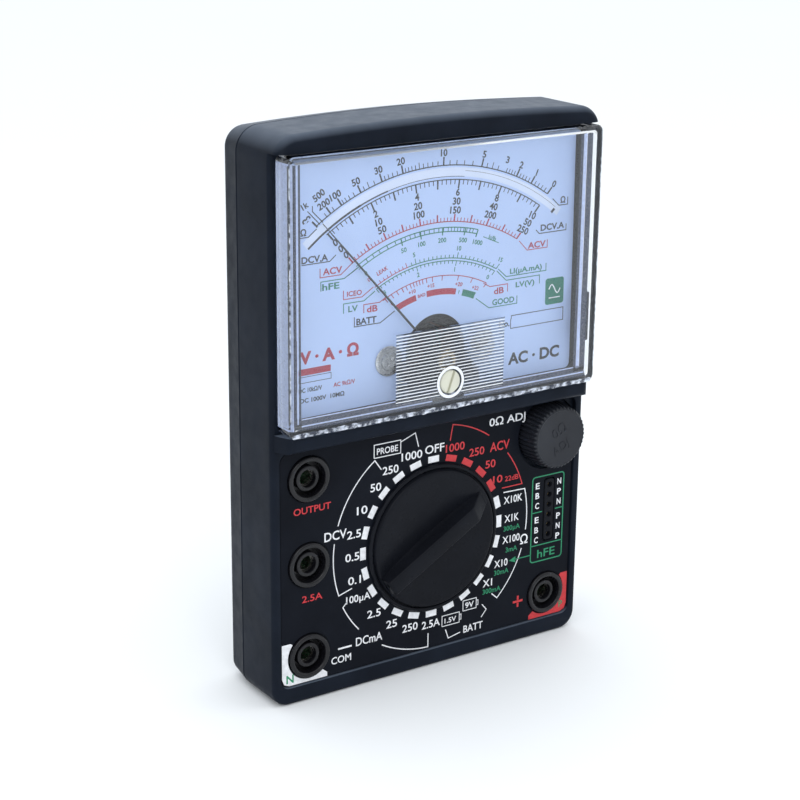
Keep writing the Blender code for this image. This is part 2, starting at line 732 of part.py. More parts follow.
def loop(inside_x, inside_y0, inside_y1, thick, width):
    """A flat rectangular loop around the core, lying across the movement."""
    outer = [(-inside_x - thick, inside_y0 - thick), (inside_x + thick, inside_y0 - thick),
             (inside_x + thick, inside_y1 + thick), (-inside_x - thick, inside_y1 + thick)]
    inner = [(-inside_x, inside_y0), (inside_x, inside_y0), (inside_x, inside_y1),
             (-inside_x, inside_y1)]
    made = Solid()
    low = [[made.bm.verts.new(Vector((x, y, PIVOT_Z - width / 2)) * MM) for x, y in path]
           for path in (outer, inner)]
    high = [[made.bm.verts.new(Vector((x, y, PIVOT_Z + width / 2)) * MM) for x, y in path]
            for path in (outer, inner)]
    for i in range(4):
        j = (i + 1) % 4
        made.bm.faces.new((low[0][i], low[0][j], high[0][j], high[0][i]))
        made.bm.faces.new((low[1][j], low[1][i], high[1][i], high[1][j]))
        made.bm.faces.new((low[0][j], low[0][i], low[1][i], low[1][j]))
        made.bm.faces.new((high[0][i], high[0][j], high[1][j], high[1][i]))
    return made


def coil_sizes():
    """The former's inside depth, front and back, and the winding's."""
    core_y0 = RING_Y + CORE_CLEAR
    core_y1 = RING_Y + RING_T - CORE_CLEAR
    inner = (core_y0 - 0.5, core_y1 + 0.5)
    wound = (inner[0] - FORMER_T - FINE_GAP, inner[1] + FORMER_T + FINE_GAP)
    return inner, wound


def moving_coil():
    inner, wound = coil_sizes()
    place = (0, 0, PIVOT_Z)
    turn = turn_about(0.0, PIVOT_Z, -REST_DEG)
    former = loop(FORMER_IN, inner[0], inner[1], FORMER_T, FORMER_W)
    add("coil_former", former.moved(turn), ALUMINIUM, place)
    winding = loop(FORMER_IN + FORMER_T + FINE_GAP, wound[0], wound[1], COIL_T, COIL_W)
    add("coil_winding", winding.moved(turn), COPPER, place)

    front_end = FRONT_BRIDGE_Y + BRIDGE_T + 0.35
    staff = Solid()
    staff.turned([(0.15, front_end - 0.05), (STAFF_R, front_end + 0.5),
                  (STAFF_R, wound[0] - COIL_T - FINE_GAP - 0.6), (1.2, wound[0] - COIL_T - FINE_GAP - 0.6),
                  (1.2, wound[0] - COIL_T - FINE_GAP)], 0.0, PIVOT_Z, 16)
    add("front_pivot", staff, STEEL, place)
    back = wound[1] + COIL_T + FINE_GAP
    staff = Solid()
    staff.turned([(1.2, back), (1.2, back + 0.3), (STAFF_R, back + 0.3),
                  (STAFF_R, REAR_BRIDGE_Y - 0.4), (0.15, REAR_BRIDGE_Y - 0.15)], 0.0, PIVOT_Z, 16)
    add("rear_pivot", staff, STEEL, place)


def hairspring(name, y):
    """A flat spiral strip between the staff and the bridge."""
    steps = int(SPRING_TURNS * 14)
    outer = []
    inner = []
    for i in range(steps + 1):
        t = i / steps
        degrees = 360.0 * SPRING_TURNS * t
        r = SPRING_BORE_R + (SPRING_R - SPRING_BORE_R - SPRING_T) * t
        inner.append(clockwise(0.0, PIVOT_Z, degrees, r))
        outer.append(clockwise(0.0, PIVOT_Z, degrees, r + SPRING_T))
    path = outer + list(reversed(inner))
    strip = Solid()
    rings = [[strip.bm.verts.new(Vector((x, level, z)) * MM) for x, z in path]
             for level in (y, y + SPRING_H)]
    count = len(path)
    for i in range(count):
        j = (i + 1) % count
        strip.bm.faces.new((rings[0][i], rings[0][j], rings[1][j], rings[1][i]))
    half = steps + 1
    for i in range(steps):
        for ring in rings:
            strip.bm.faces.new((ring[i], ring[i + 1], ring[count - 2 - i], ring[count - 1 - i]))
    assert half * 2 == count
    add(name, strip, BRASS, (0, 0, PIVOT_Z))


def magnet_system():
    ring_back = RING_Y + RING_T
    ring = Solid()
    ring.ring([(RING_BORE_R, RING_Y), (RING_R, RING_Y), (RING_R, ring_back),
               (RING_BORE_R, ring_back)], 0.0, PIVOT_Z, 40)
    add("yoke_ring", ring, STEEL, (0, 0, PIVOT_Z))

    middle = RING_Y + RING_T / 2
    core = Solid()
    core.cylinder(CORE_R, 0.0, PIVOT_Z, RING_Y + CORE_CLEAR, ring_back - CORE_CLEAR, 32)
    item = add("core_magnet", core, MAGNET, (0, 0, PIVOT_Z))
    slot = Solid()
    half_w = HOLDER_W / 2 + FINE_GAP
    half_t = HOLDER_T / 2 + FINE_GAP
    slot.box((-half_w, middle - half_t, PIVOT_Z - RING_R), (half_w, middle + half_t, PIVOT_Z + RING_R))
    cut(item, slot)

    reach = math.sqrt(RING_BORE_R ** 2 - (HOLDER_W / 2) ** 2) - FINE_GAP
    holder = Solid()
    holder.box((-HOLDER_W / 2, middle - HOLDER_T / 2, PIVOT_Z - reach),
               (HOLDER_W / 2, middle + HOLDER_T / 2, PIVOT_Z + reach))
    add("core_holder", holder, BRASS, (0, 0, PIVOT_Z))


def bridges():
    low = PIVOT_Z - BRIDGE_POST_DROP
    wide = BRIDGE_POST_X + BRIDGE_POST_R
    outline = [(-wide, low - 1.4), (wide, low - 1.4), (wide, low + 1.4), (3.0, PIVOT_Z + 2.6),
               (-3.0, PIVOT_Z + 2.6), (-wide, low + 1.4)]
    plate = Solid()
    plate.prism(outline, FRONT_BRIDGE_Y, FRONT_BRIDGE_Y + BRIDGE_T)
    item = add("front_bridge", plate, BRASS)
    posts = Solid()
    for side in (-1, 1):
        posts.cylinder(BRIDGE_POST_R, side * BRIDGE_POST_X, low, FRONT_BRIDGE_Y + 0.2, RING_Y - GAP, 12)
    join(item, posts)
    hole = Solid()
    hole.cylinder(JEWEL_R + GAP, 0.0, PIVOT_Z, FRONT_BRIDGE_Y - 1.0, FRONT_BRIDGE_Y + BRIDGE_T + 1.0, 16)
    cut(item, hole)

    post_x = (RING_R + RING_BORE_R) / 2
    plate = Solid()
    plate.prism(rounded(-post_x - 1.4, PIVOT_Z - 2.2, post_x + 1.4, PIVOT_Z + 2.2, 1.2, 3),
                REAR_BRIDGE_Y, REAR_BRIDGE_Y + BRIDGE_T)
    item = add("rear_bridge", plate, BRASS)
    posts = Solid()
    for side in (-1, 1):
        posts.cylinder(REAR_POST_R, side * post_x, PIVOT_Z, RING_Y + RING_T + GAP, REAR_BRIDGE_Y + 0.2, 12)
    join(item, posts)
    hole = Solid()
    hole.cylinder(JEWEL_R + GAP, 0.0, PIVOT_Z, REAR_BRIDGE_Y - 1.0, REAR_BRIDGE_Y + BRIDGE_T + 1.0, 16)
    cut(item, hole)

    screw("front_jewel_screw", 0.0, PIVOT_Z, JEWEL_R, FRONT_BRIDGE_Y - 0.2, 0.7, 1.0,
          FRONT_BRIDGE_Y + BRIDGE_T + 0.1, NICKEL)
    screw("rear_jewel_screw", 0.0, PIVOT_Z, JEWEL_R, REAR_BRIDGE_Y + BRIDGE_T + 0.2, 0.7, 1.0,
          REAR_BRIDGE_Y + FINE_GAP, NICKEL)


def zero_adjuster():
    """The slotted screw in the cover, its eccentric pin, and the forked arm that the pin swings."""
    z = PIVOT_Z - ADJUST_DROP
    front = -COVER_PROUD - 0.2
    back = -COVER_PROUD + COVER_WALL + 0.3
    arm_y0 = FRONT_BRIDGE_Y - GAP - ARM_T
    arm_y1 = FRONT_BRIDGE_Y - GAP
    head = Solid()
    head.turned([(ADJUST_HEAD_R, back), (ADJUST_HEAD_R, front + 0.4), (ADJUST_HEAD_R - 0.4, front)],
                0.0, z, 24)
    item = add("zero_adjust_screw", head, CREAM, (0, 0, z))
    pin = Solid()
    pin.cylinder(ADJUST_PIN_R, 0.0, z - ADJUST_ECCENTRIC, back - 0.3, arm_y1, 10)
    join(item, pin)
    slot = Solid()
    slot.box((-0.45, front - 1.0, z - ADJUST_HEAD_R - 1.0), (0.45, front + 0.8, z + ADJUST_HEAD_R + 1.0))
    cut(item, slot.moved(turn_about(0.0, z, 20.0)))

    fork_low = z - ADJUST_ECCENTRIC - ADJUST_PIN_R - 0.7
    arm = Solid()
    arm.prism([(-1.7, fork_low), (1.7, fork_low), (1.9, PIVOT_Z), (-1.9, PIVOT_Z)], arm_y0, arm_y1)
    item = add("zero_adjust_arm", arm, BRASS, (0, 0, PIVOT_Z))
    eye = Solid()
    eye.cylinder(2.7, 0.0, PIVOT_Z, arm_y0, arm_y1, 20)
    join(item, eye)
    bore = Solid()
    bore.cylinder(JEWEL_R + GAP, 0.0, PIVOT_Z, arm_y0 - 1.0, arm_y1 + 1.0, 16)
    half = ADJUST_PIN_R + 0.2
    bore.box((-half, arm_y0 - 1.0, fork_low - 1.0), (half, arm_y1 + 1.0, z + 0.4))
    cut(item, bore)


def movement_frame():
    y1 = FRAME_Y + FRAME_T
    z_low = PIVOT_Z - FRAME_ARM_DROP - FRAME_ARM_H / 2
    plate = Solid()
    plate.cylinder(FRAME_R, 0.0, PIVOT_Z, FRAME_Y, y1, 40)
    item = add("movement_frame", plate, CASE_PLASTIC)
    arms = Solid()
    reach = FRAME_ARM_X + FRAME_ARM_H / 2
    arms.prism(rounded(-reach, z_low, reach, z_low + FRAME_ARM_H, 3.0, 3), FRAME_Y, y1)
    join(item, arms)
    posts = Solid()
    for side in (-1, 1):
        posts.cylinder(FRAME_POST_R, side * DIAL_SCREW_X, PIVOT_Z + DIAL_SCREW_RISE,
                       DIAL_SINK + DIAL_T + GAP, y1 - 0.5, 16)
    join(item, posts)
    holes = Solid()
    holes.cylinder(RING_R + FINE_GAP, 0.0, PIVOT_Z, FRAME_Y - 6.0, y1 + 1.0, 40)
    for side in (-1, 1):
        holes.cylinder(1.3, side * DIAL_SCREW_X, PIVOT_Z + DIAL_SCREW_RISE, DIAL_SINK, DIAL_SINK + 4.4, 12)
        holes.cylinder(1.3, side * FRAME_ARM_X, PIVOT_Z - FRAME_ARM_DROP, FRAME_Y - 1.0, y1 + 1.0, 12)
    cut(item, holes)
    for name, side in (("left", -1), ("right", 1)):
        screw("movement_screw_" + name, side * FRAME_ARM_X, PIVOT_Z - FRAME_ARM_DROP, 2.2,
              y1 + FINE_GAP, 1.2, 0.95, FRONT_WALL + 1.0, STEEL)


def selector():
    """The knob, its rotor and wiper behind the panel, and the screw that joins them."""
    axis = (0, 0, SELECTOR_Z)
    turn = turn_about(0.0, SELECTOR_Z, SELECTOR_REST_DEG)
    hub_end = FRONT_WALL + 0.1
    disc = Solid()
    disc.turned([(SELECTOR_HUB_R, hub_end), (SELECTOR_HUB_R, -GAP), (SELECTOR_R, -GAP),
                 (SELECTOR_R, -SELECTOR_LIP + 0.3), (SELECTOR_R - 0.4, -SELECTOR_LIP),
                 (SELECTOR_FACE_R + 0.5, -SELECTOR_LIP), (SELECTOR_FACE_R + 0.2, -SELECTOR_LIP + 0.5),
                 (SELECTOR_FACE_R, -SELECTOR_LIP + 0.3), (SELECTOR_FACE_R - 0.7, -SELECTOR_FACE),
                 (SELECTOR_FACE_R - 2.0, -SELECTOR_FACE), (6.0, -SELECTOR_DISH)],
                0.0, SELECTOR_Z, 48)
    item = add("selector_knob", disc, KNOB_BLACK, axis)
    grip = Solid()
    side_view = [(-GRIP_TAIL, -GAP - 0.2), (-GRIP_TAIL, -GRIP_PROUD + 0.8),
                 (-GRIP_TAIL + 0.8, -GRIP_PROUD), (GRIP_FLAT, -GRIP_PROUD), (GRIP_NOSE, -1.4),
                 (GRIP_NOSE, -GAP - 0.2)]
    rings = []
    for x, squeeze in ((-GRIP_W / 2, 0.35), (-GRIP_W / 2 + 0.35, 0.0), (GRIP_W / 2 - 0.35, 0.0),
                       (GRIP_W / 2, 0.35)):
        ring = []
        for s, y in side_view:
            lowered = y + squeeze if y < -GRIP_PROUD + 1.0 else y
            ring.append((x, lowered, SELECTOR_Z + s))
        rings.append(ring)
    grip.loft(rings)
    join(item, grip.moved(turn))
    bore = Solid()
    bore.cylinder(1.5, 0.0, SELECTOR_Z, -2.0, hub_end + 1.0, 12)
    cut(item, bore)

    rotor_y0 = FRONT_WALL + GAP + 0.1
    rotor_y1 = rotor_y0 + ROTOR_T
    hub_y1 = rotor_y0 + ROTOR_HUB_T
    steps = POSITIONS * 4
    outline = []
    for i in range(steps):
        degrees = 360.0 * i / steps
        ripple = 0.5 + 0.5 * math.cos(math.radians(degrees * POSITIONS))
        outline.append(clockwise(0.0, SELECTOR_Z, degrees, ROTOR_R - NOTCH_DEPTH * ripple))
    rotor = Solid()
    rotor.prism(outline, rotor_y0, rotor_y1)
    item = add("switch_rotor", rotor, CREAM, axis)
    hub = Solid()
    hub.cylinder(ROTOR_HUB_R, 0.0, SELECTOR_Z, rotor_y0 + 0.5, hub_y1, 24)
    join(item, hub)
    bore = Solid()
    bore.cylinder(1.5, 0.0, SELECTOR_Z, rotor_y0 - 1.0, hub_y1 + 1.0, 12)
    cut(item, bore)

    screw("selector_screw", 0.0, SELECTOR_Z, 2.8, hub_y1 + FINE_GAP, 1.2, 1.2, -1.0, STEEL)

    wiper_y = rotor_y1 + GAP
    touch_y = BOARD_Y - FINE_GAP
    arm = Solid()
    arm.box((-1.6, wiper_y, SELECTOR_Z + ROTOR_HUB_R + GAP),
            (1.6, wiper_y + 0.4, SELECTOR_Z + WIPER_REACH))
    item = add("wiper_contact", arm.moved(turn), BRASS, axis)
    fingers = Solid()
    for z in (ROTOR_HUB_R + 1.6, WIPER_REACH - 0.7):
        fingers.box((-1.2, wiper_y + 0.1, SELECTOR_Z + z - 0.5), (1.2, touch_y, SELECTOR_Z + z + 0.5))
    join(item, fingers.moved(turn))

    ball_x, ball_z = clockwise(0.0, SELECTOR_Z, SELECTOR_REST_DEG + 180.0, ROTOR_R + BALL_R + GAP)
    ball_y = rotor_y0 + ROTOR_T / 2
    ball = Solid()
    profile = []
    for i in range(1, 8):
        a = math.pi * i / 8
        profile.append((BALL_R * math.sin(a), ball_y - BALL_R * math.cos(a)))
    ball.turned([(0.12, ball_y - BALL_R)] + profile + [(0.12, ball_y + BALL_R)], ball_x, ball_z, 14)
    add("detent_ball", ball, STEEL, (ball_x, ball_y, ball_z))
    leaf = Solid()
    radius = ROTOR_R + 2 * BALL_R + 2 * GAP
    leaf.box((-7.0, rotor_y0, SELECTOR_Z + radius), (7.0, rotor_y1, SELECTOR_Z + radius + 0.3))
    add("detent_spring", leaf.moved(turn_about(0.0, SELECTOR_Z, SELECTOR_REST_DEG + 180.0)), NICKEL,
        (ball_x, ball_y, ball_z))


def ohm_adjuster():
    axis = (ADJ_X, 0, ADJ_Z)
    base_y = ADJ_POCKET_Y - GAP * 2
    rings = []
    for r, depth, y in ((ADJ_R, ADJ_TOOTH, base_y), (ADJ_R, ADJ_TOOTH, -1.5),
                        (ADJ_TOP_R, ADJ_TOOTH, -ADJ_PROUD + 0.5), (ADJ_TOP_R - 0.6, 0.0, -ADJ_PROUD)):
        ring = []
        for i in range(ADJ_TEETH * 2):
            radius = r - depth * (i % 2)
            x, z = clockwise(ADJ_X, ADJ_Z, 180.0 * i / ADJ_TEETH, radius)
            ring.append((x, y, z))
        rings.append(ring)
    knob = Solid()
    knob.loft(rings)
    item = add("ohm_adjust_knob", knob, KNOB_BLACK, axis)
    bore = Solid()
    bore.cylinder(SHAFT_R + GAP, ADJ_X, ADJ_Z, -ADJ_PROUD + 1.5, base_y + 1.0, 16)
    cut(item, bore)

    body_y0 = ADJ_POCKET_Y + ADJ_BOSS_T + GAP
    body_y1 = body_y0 + POT_T
    bushing_y0 = ADJ_POCKET_Y - 0.4
    body = Solid()
    body.ring([(SHAFT_R + GAP, bushing_y0 + 0.4), (BUSHING_R, bushing_y0 + 0.4), (BUSHING_R, body_y0),
               (POT_R, body_y0), (POT_R, body_y1), (SHAFT_R + GAP, body_y1)], ADJ_X, ADJ_Z, 24)
    add("potentiometer_body", body, NICKEL, axis)
    shaft = Solid()
    shaft.cylinder(SHAFT_R, ADJ_X, ADJ_Z, -ADJ_PROUD + 1.5 + GAP, body_y1 - 0.4, 16)
    item = add("potentiometer_shaft", shaft, ALUMINIUM, axis)
    flat = Solid()
    flat.box((ADJ_X - 3.0, -ADJ_PROUD, ADJ_Z + SHAFT_R - 0.6), (ADJ_X + 3.0, 0.5, ADJ_Z + 3.0))
    cut(item, flat)


def jacks():
    for name, (x, z) in JACKS.items():
        sleeve = Solid()
        sleeve.ring([(SLEEVE_R, SLEEVE_END_Y), (SLEEVE_R, PANEL_T), (COLLAR_R, PANEL_T),
                     (COLLAR_R, -COLLAR_PROUD + 0.4), (COLLAR_R - 0.4, -COLLAR_PROUD),
                     (COLLAR_WELL_R + 0.3, -COLLAR_PROUD), (COLLAR_WELL_R, -COLLAR_PROUD + 0.4),
                     (COLLAR_WELL_R, JACK_WELL_Y), (JACK_TUBE_R, JACK_WELL_Y),
                     (JACK_TUBE_R, JACK_MOUTH_Y), (JACK_BORE_R, JACK_MOUTH_Y),
                     (JACK_BORE_R, JACK_WELL_Y - 1.0), (CONTACT_R + FINE_GAP, JACK_WELL_Y - 1.0),
                     (CONTACT_R + FINE_GAP, SLEEVE_END_Y)], x, z, 20)
        add("jack_sleeve_" + name, sleeve, KNOB_BLACK, (x, 0, z))
        tube = Solid()
        start = JACK_WELL_Y - 1.0 + GAP
        tube.ring([(CONTACT_BORE_R, start), (CONTACT_R, start), (CONTACT_R, BOARD_Y - GAP),
                   (CONTACT_BORE_R, BOARD_Y - GAP)], x, z, 16)
        add("jack_contact_" + name, tube, NICKEL, (x, 0, z))


def transistor_socket():
    body = Solid()
    body.prism(rounded(SOCKET_X - SOCKET_W / 2, SOCKET_Z - SOCKET_H / 2, SOCKET_X + SOCKET_W / 2,
                       SOCKET_Z + SOCKET_H / 2, 1.0, 3), -0.2, SOCKET_DEEP)
    item = add("transistor_socket", body, KNOB_BLACK)
    holes = Solid()
    for i in range(SOCKET_HOLES):
        z = SOCKET_Z + SOCKET_PITCH * (i - (SOCKET_HOLES - 1) / 2)
        holes.cylinder(SOCKET_HOLE_R, SOCKET_X, z, -1.0, SOCKET_DEEP + 1.0, 10)
    cut(item, holes)


def circuit_board():
    y1 = BOARD_Y + BOARD_T
    plate = Solid()
    plate.box((-BOARD_HALF_W, BOARD_Y, BOARD_Z), (BOARD_HALF_W, y1, BOARD_Z + BOARD_H))
    item = add("circuit_board", plate, BOARD)
    parts = Solid()
    for i in range(5):
        x = -14.0 + 7.0 * i
        parts.box((x - 1.2, y1 - 0.4, SELECTOR_Z - 17.5), (x + 1.2, y1 + 2.2, SELECTOR_Z - 10.5))
    for x, rise, w, h, tall in ((30.0, 12.5, 12.0, 7.0, 7.5), (-34.0, -7.5, 8.0, 8.0, 5.0),
                                (27.0, -5.5, 7.0, 5.0, 4.0)):
        z = SELECTOR_Z + rise
        parts.box((x - w / 2, y1 - 0.4, z - h / 2), (x + w / 2, y1 + tall, z + h / 2))
    join(item, parts)
    holes = Solid()
    holes.cylinder(BACK_POST_R + 1.2, 0.0, BACK_SCREWS["bottom"], BOARD_Y - 1.0, y1 + 1.0, 20)
    for x, z in BOARD_SCREWS.values():
        holes.cylinder(1.3, x, z, BOARD_Y - 1.0, y1 + 1.0, 12)
    cut(item, holes)
    for name, (x, z) in BOARD_SCREWS.items():
        screw("board_screw_" + name, x, z, 2.4, y1 + FINE_GAP, 1.3, 0.95, FRONT_WALL + 2.0, STEEL)


def fuse():
    y1 = BOARD_Y + BOARD_T
    axis_y = y1 + FUSE_R + 1.2
    tube = Solid()
    half = FUSE_LEN / 2
    rings = []
    for r, x in ((FUSE_R, -half), (FUSE_R, half)):
        rings.append([(FUSE_X + x, axis_y + r * math.cos(math.tau * i / 16),
                       FUSE_Z + r * math.sin(math.tau * i / 16)) for i in range(16)])
    tube.loft(rings)
    add("fuse", tube, GLASS)
    for name, side in (("left", -1), ("right", 1)):
        x = FUSE_X + side * (half - 3.0)
        clip = Solid()
        inner = FUSE_R + FINE_GAP
        outer = inner + 0.5
        path = []
        for i in range(9):
            a = math.radians(-120 + 240 * i / 8)
            path.append((axis_y - outer * math.cos(a), FUSE_Z + outer * math.sin(a)))
        for i in range(9):
            a = math.radians(120 - 240 * i / 8)
            path.append((axis_y - inner * math.cos(a), FUSE_Z + inner * math.sin(a)))
        clip.loft([[(px, y, z) for y, z in path] for px in (x - 2.5, x + 2.5)])
        item = add("fuse_clip_" + name, clip, BRASS)
        foot = Solid()
        foot.box((x - 1.5, y1 + FINE_GAP, FUSE_Z - 1.0), (x + 1.5, axis_y - inner - 0.1, FUSE_Z + 1.0))
        join(item, foot)


def battery_tray():
    """One moulding with a pocket for the two round cells and one for the block battery."""
    y0 = TRAY_Y
    y1 = TRAY_Y + TRAY_DEPTH
    aa_x0 = AA_X - AA_CONTACT_ROOM
    aa_x1 = AA_X + AA_LEN + AA_NUB + AA_CONTACT_ROOM
    aa_z0 = AA_Z[0] - AA_R - GAP
    aa_z1 = AA_Z[1] + AA_R + GAP
    nine_x0 = NINE_X - GAP
    nine_x1 = NINE_X + NINE_W + GAP
    nine_z0 = NINE_Z - STUD_H - SNAP_T
    nine_z1 = NINE_Z + NINE_H + GAP
    base = Solid()
    base.box((aa_x0 - TRAY_T, y0, aa_z0 - TRAY_T), (nine_x0, y1, aa_z1 + TRAY_T))
    item = add("battery_tray", base, CASE_PLASTIC)
    wing = Solid()
    wing.box((nine_x0 - TRAY_T, y0, nine_z0 - TRAY_T), (nine_x1 + TRAY_T, y1, nine_z1 + TRAY_T))
    join(item, wing)
    pockets = Solid()
    pockets.box((aa_x0, y0 + TRAY_T, aa_z0), (aa_x1, y1 + 1.0, aa_z1))
    pockets.box((nine_x0, y0 + TRAY_T, nine_z0), (nine_x1, y1 + 1.0, nine_z1))
    pockets.box((aa_x1 + TRAY_T, y0 + TRAY_T, aa_z0), (nine_x0 - TRAY_T, y1 + 1.0, aa_z1))
    cut(item, pockets)
    return aa_x0, aa_x1


def batteries():
    aa_x0, aa_x1 = battery_tray()
    axis_y = TRAY_Y + TRAY_T + GAP + AA_R
    plus_right = {"upper": True, "lower": False}
    for (name, right), z in zip(plus_right.items(), reversed(AA_Z)):
        rings = []
        profile = [(AA_R - 0.5, 0.0), (AA_R, 0.5), (AA_R, AA_LEN - 0.5), (AA_R - 0.5, AA_LEN),
                   (2.6, AA_LEN), (2.6, AA_LEN + AA_NUB)]
        for r, s in profile:
            x = AA_X + s if right else AA_X + AA_LEN + AA_NUB - s
            rings.append([(x, axis_y + r * math.cos(math.tau * i / 24),
                           z + r * math.sin(math.tau * i / 24)) for i in range(24)])
        cell = Solid()
        cell.loft(rings)
        add("aa_cell_" + name, cell, CELL)

    low = AA_Z[0] - 5.0
    high = AA_Z[1] + 5.0
    link = Solid()
    link.box((aa_x1 - 1.0, axis_y - 4.0, low), (aa_x1 - 0.5, axis_y + 4.0, high))
    add("cell_link_plate", link, NICKEL)
    terminal = Solid()
    terminal.box((aa_x0 + 0.5, axis_y - 4.0, low), (aa_x0 + 1.0, axis_y + 4.0, high))
    item = add("cell_terminal_plate", terminal, NICKEL)
    split = Solid()
    middle = (AA_Z[0] + AA_Z[1]) / 2
    split.box((aa_x0, axis_y - 2.0, middle - 1.0), (aa_x0 + 2.0, axis_y + 5.0, middle + 1.0))
    cut(item, split)

    y0 = TRAY_Y + TRAY_T + GAP
    block = Solid()
    rings = []
    for inset, z in ((0.6, NINE_Z), (0.0, NINE_Z + 0.6), (0.0, NINE_Z + NINE_H - 0.6),
                     (0.6, NINE_Z + NINE_H)):
        outline = rounded(NINE_X + inset, y0 + inset, NINE_X + NINE_W - inset, y0 + NINE_D - inset, 1.8, 2)
        rings.append([(x, y, z) for x, y in outline])
    block.loft(rings)
    item = add("nine_volt_battery", block, BLOCK)
    studs = [(NINE_X + NINE_W / 2 - 6.4, y0 + NINE_D / 2), (NINE_X + NINE_W / 2 + 6.4, y0 + NINE_D / 2)]
    knobs = Solid()
    for x, y in studs:
        knobs.loft([[(x + 2.8 * math.cos(math.tau * i / 12), y + 2.8 * math.sin(math.tau * i / 12), z)
                     for i in range(12)] for z in (NINE_Z - STUD_H, NINE_Z + 0.8)])
    join(item, knobs)

    snap = Solid()
    top = NINE_Z - GAP
    snap.box((NINE_X + 1.0, y0 + 1.5, top - SNAP_T), (NINE_X + NINE_W - 1.0, y0 + NINE_D - 1.5, top))
    item = add("nine_volt_snap", snap, KNOB_BLACK)
    cups = Solid()
    for x, y in studs:
        cups.loft([[(x + 3.2 * math.cos(math.tau * i / 12), y + 3.2 * math.sin(math.tau * i / 12), z)
                    for i in range(12)] for z in (NINE_Z - STUD_H - GAP, top + 1.0)])
    cut(item, cups)


def main():
    front_case()
    rear_case()
    case_screws()
    control_panel()
    meter_cover()
    dial()
    pointer()
    moving_coil()
    hairspring("front_hairspring", FRONT_BRIDGE_Y + BRIDGE_T + 0.2)
    hairspring("rear_hairspring", REAR_BRIDGE_Y - 1.0)
    magnet_system()
    bridges()
    zero_adjuster()
    movement_frame()
    selector()
    ohm_adjuster()
    jacks()
    transistor_socket()
    circuit_board()
    fuse()
    batteries()


clear_scene()
# Everything hangs from one empty that puts the middle of the whole depth on Y = 0.
ROOT = bpy.data.objects.new("meter", None)
ROOT.location = (0, (COVER_PROUD + 0.2 - BACK_Y) / 2 * MM, 0)
bpy.context.scene.collection.objects.link(ROOT)
main()
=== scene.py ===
"""Looks for the analog multimeter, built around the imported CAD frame.

Sizes are millimetres. Depths run back from the control panel's face, so the front is negative.
"""
import math
import random

import bmesh
import bpy
from mathutils import Matrix, Vector


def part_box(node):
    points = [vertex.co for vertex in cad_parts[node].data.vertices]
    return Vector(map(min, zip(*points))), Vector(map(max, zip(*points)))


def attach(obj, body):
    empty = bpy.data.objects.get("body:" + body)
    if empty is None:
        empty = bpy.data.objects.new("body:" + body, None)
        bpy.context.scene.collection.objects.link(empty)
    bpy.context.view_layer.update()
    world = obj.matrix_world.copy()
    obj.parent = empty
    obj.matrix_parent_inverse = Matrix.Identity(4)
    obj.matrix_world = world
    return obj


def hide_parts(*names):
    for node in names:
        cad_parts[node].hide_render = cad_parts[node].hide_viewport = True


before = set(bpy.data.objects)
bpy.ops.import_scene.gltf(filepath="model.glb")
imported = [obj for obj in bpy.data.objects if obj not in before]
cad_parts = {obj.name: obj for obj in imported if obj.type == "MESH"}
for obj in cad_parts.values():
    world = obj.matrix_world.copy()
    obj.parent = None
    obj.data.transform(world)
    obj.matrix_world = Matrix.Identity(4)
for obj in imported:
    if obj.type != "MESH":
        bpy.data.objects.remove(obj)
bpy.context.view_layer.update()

MM = 0.001
PANEL_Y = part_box("control_panel")[0].y
HALF_W = 50.0
TOP = 151.6             # the crown and hood stand a little above the CAD case
CROWN = 1.6
RIM = 0.6
PIVOT_Z = 88.0
ARC_Z = 75.1
DIAL_Y = 0.6
SELECTOR_Z = 37.5
KNOB_TURN = 60.0
ADJ = (38.5, 60.2)
JACKS = {"output": (-38.8, 61.6), "amp": (-38.8, 38.1), "com": (-38.8, 12.6), "positive": (39.2, 12.6)}
HOOD_Z = 145.9
COVER = (-48.2, 75.5, 48.2, HOOD_Z - 0.2)
COVER_FRONT = -7.0
ZERO_Z = 82.9
RIBS = 22
RIB_Z = 79.2
RIB_STEP = 0.87


# ---------------------------------------------------------------- shapes

def place(x, y, z):
    return Vector((x * MM, PANEL_Y + y * MM, z * MM))


def arc(cx, cz, r, a0, a1, steps):
    return [(cx + r * math.cos(math.radians(a0 + (a1 - a0) * i / steps)),
             cz + r * math.sin(math.radians(a0 + (a1 - a0) * i / steps))) for i in range(steps + 1)]


def rounded(x0, z0, x1, z1, r, steps=8):
    return (arc(x0 + r, z0 + r, r, 180, 270, steps) + arc(x1 - r, z0 + r, r, 270, 360, steps)
            + arc(x1 - r, z1 - r, r, 0, 90, steps) + arc(x0 + r, z1 - r, r, 90, 180, steps))


def turned_point(x, z, degrees, reach):
    a = math.radians(degrees)
    return x + reach * math.sin(a), z + reach * math.cos(a)


def crown_drop(x):
    return CROWN * (x / HALF_W) ** 2


def case_outline(inset):
    half = HALF_W - inset
    r_low = max(5.0 - inset, 0.4)
    r_top = max(6.5 - inset, 0.6)
    shoulder = half - r_top
    top_z = TOP - inset - crown_drop(shoulder) - r_top
    steps = 24
    crown = [(shoulder * (1 - 2 * i / steps),
              TOP - inset - crown_drop(shoulder * (1 - 2 * i / steps))) for i in range(1, steps)]
    return (arc(-half + r_low, inset + r_low, r_low, 180, 270, 10)
            + arc(half - r_low, inset + r_low, r_low, 270, 360, 10)
            + arc(shoulder, top_z, r_top, 0, 90, 12) + crown + arc(-shoulder, top_z, r_top, 90, 180, 12))


def quarter(front, radius, steps=6):
    return [(radius * (1 - math.cos(math.pi / 2 * i / steps)),
             front + radius * (1 - math.sin(math.pi / 2 * i / steps))) for i in range(steps + 1)]


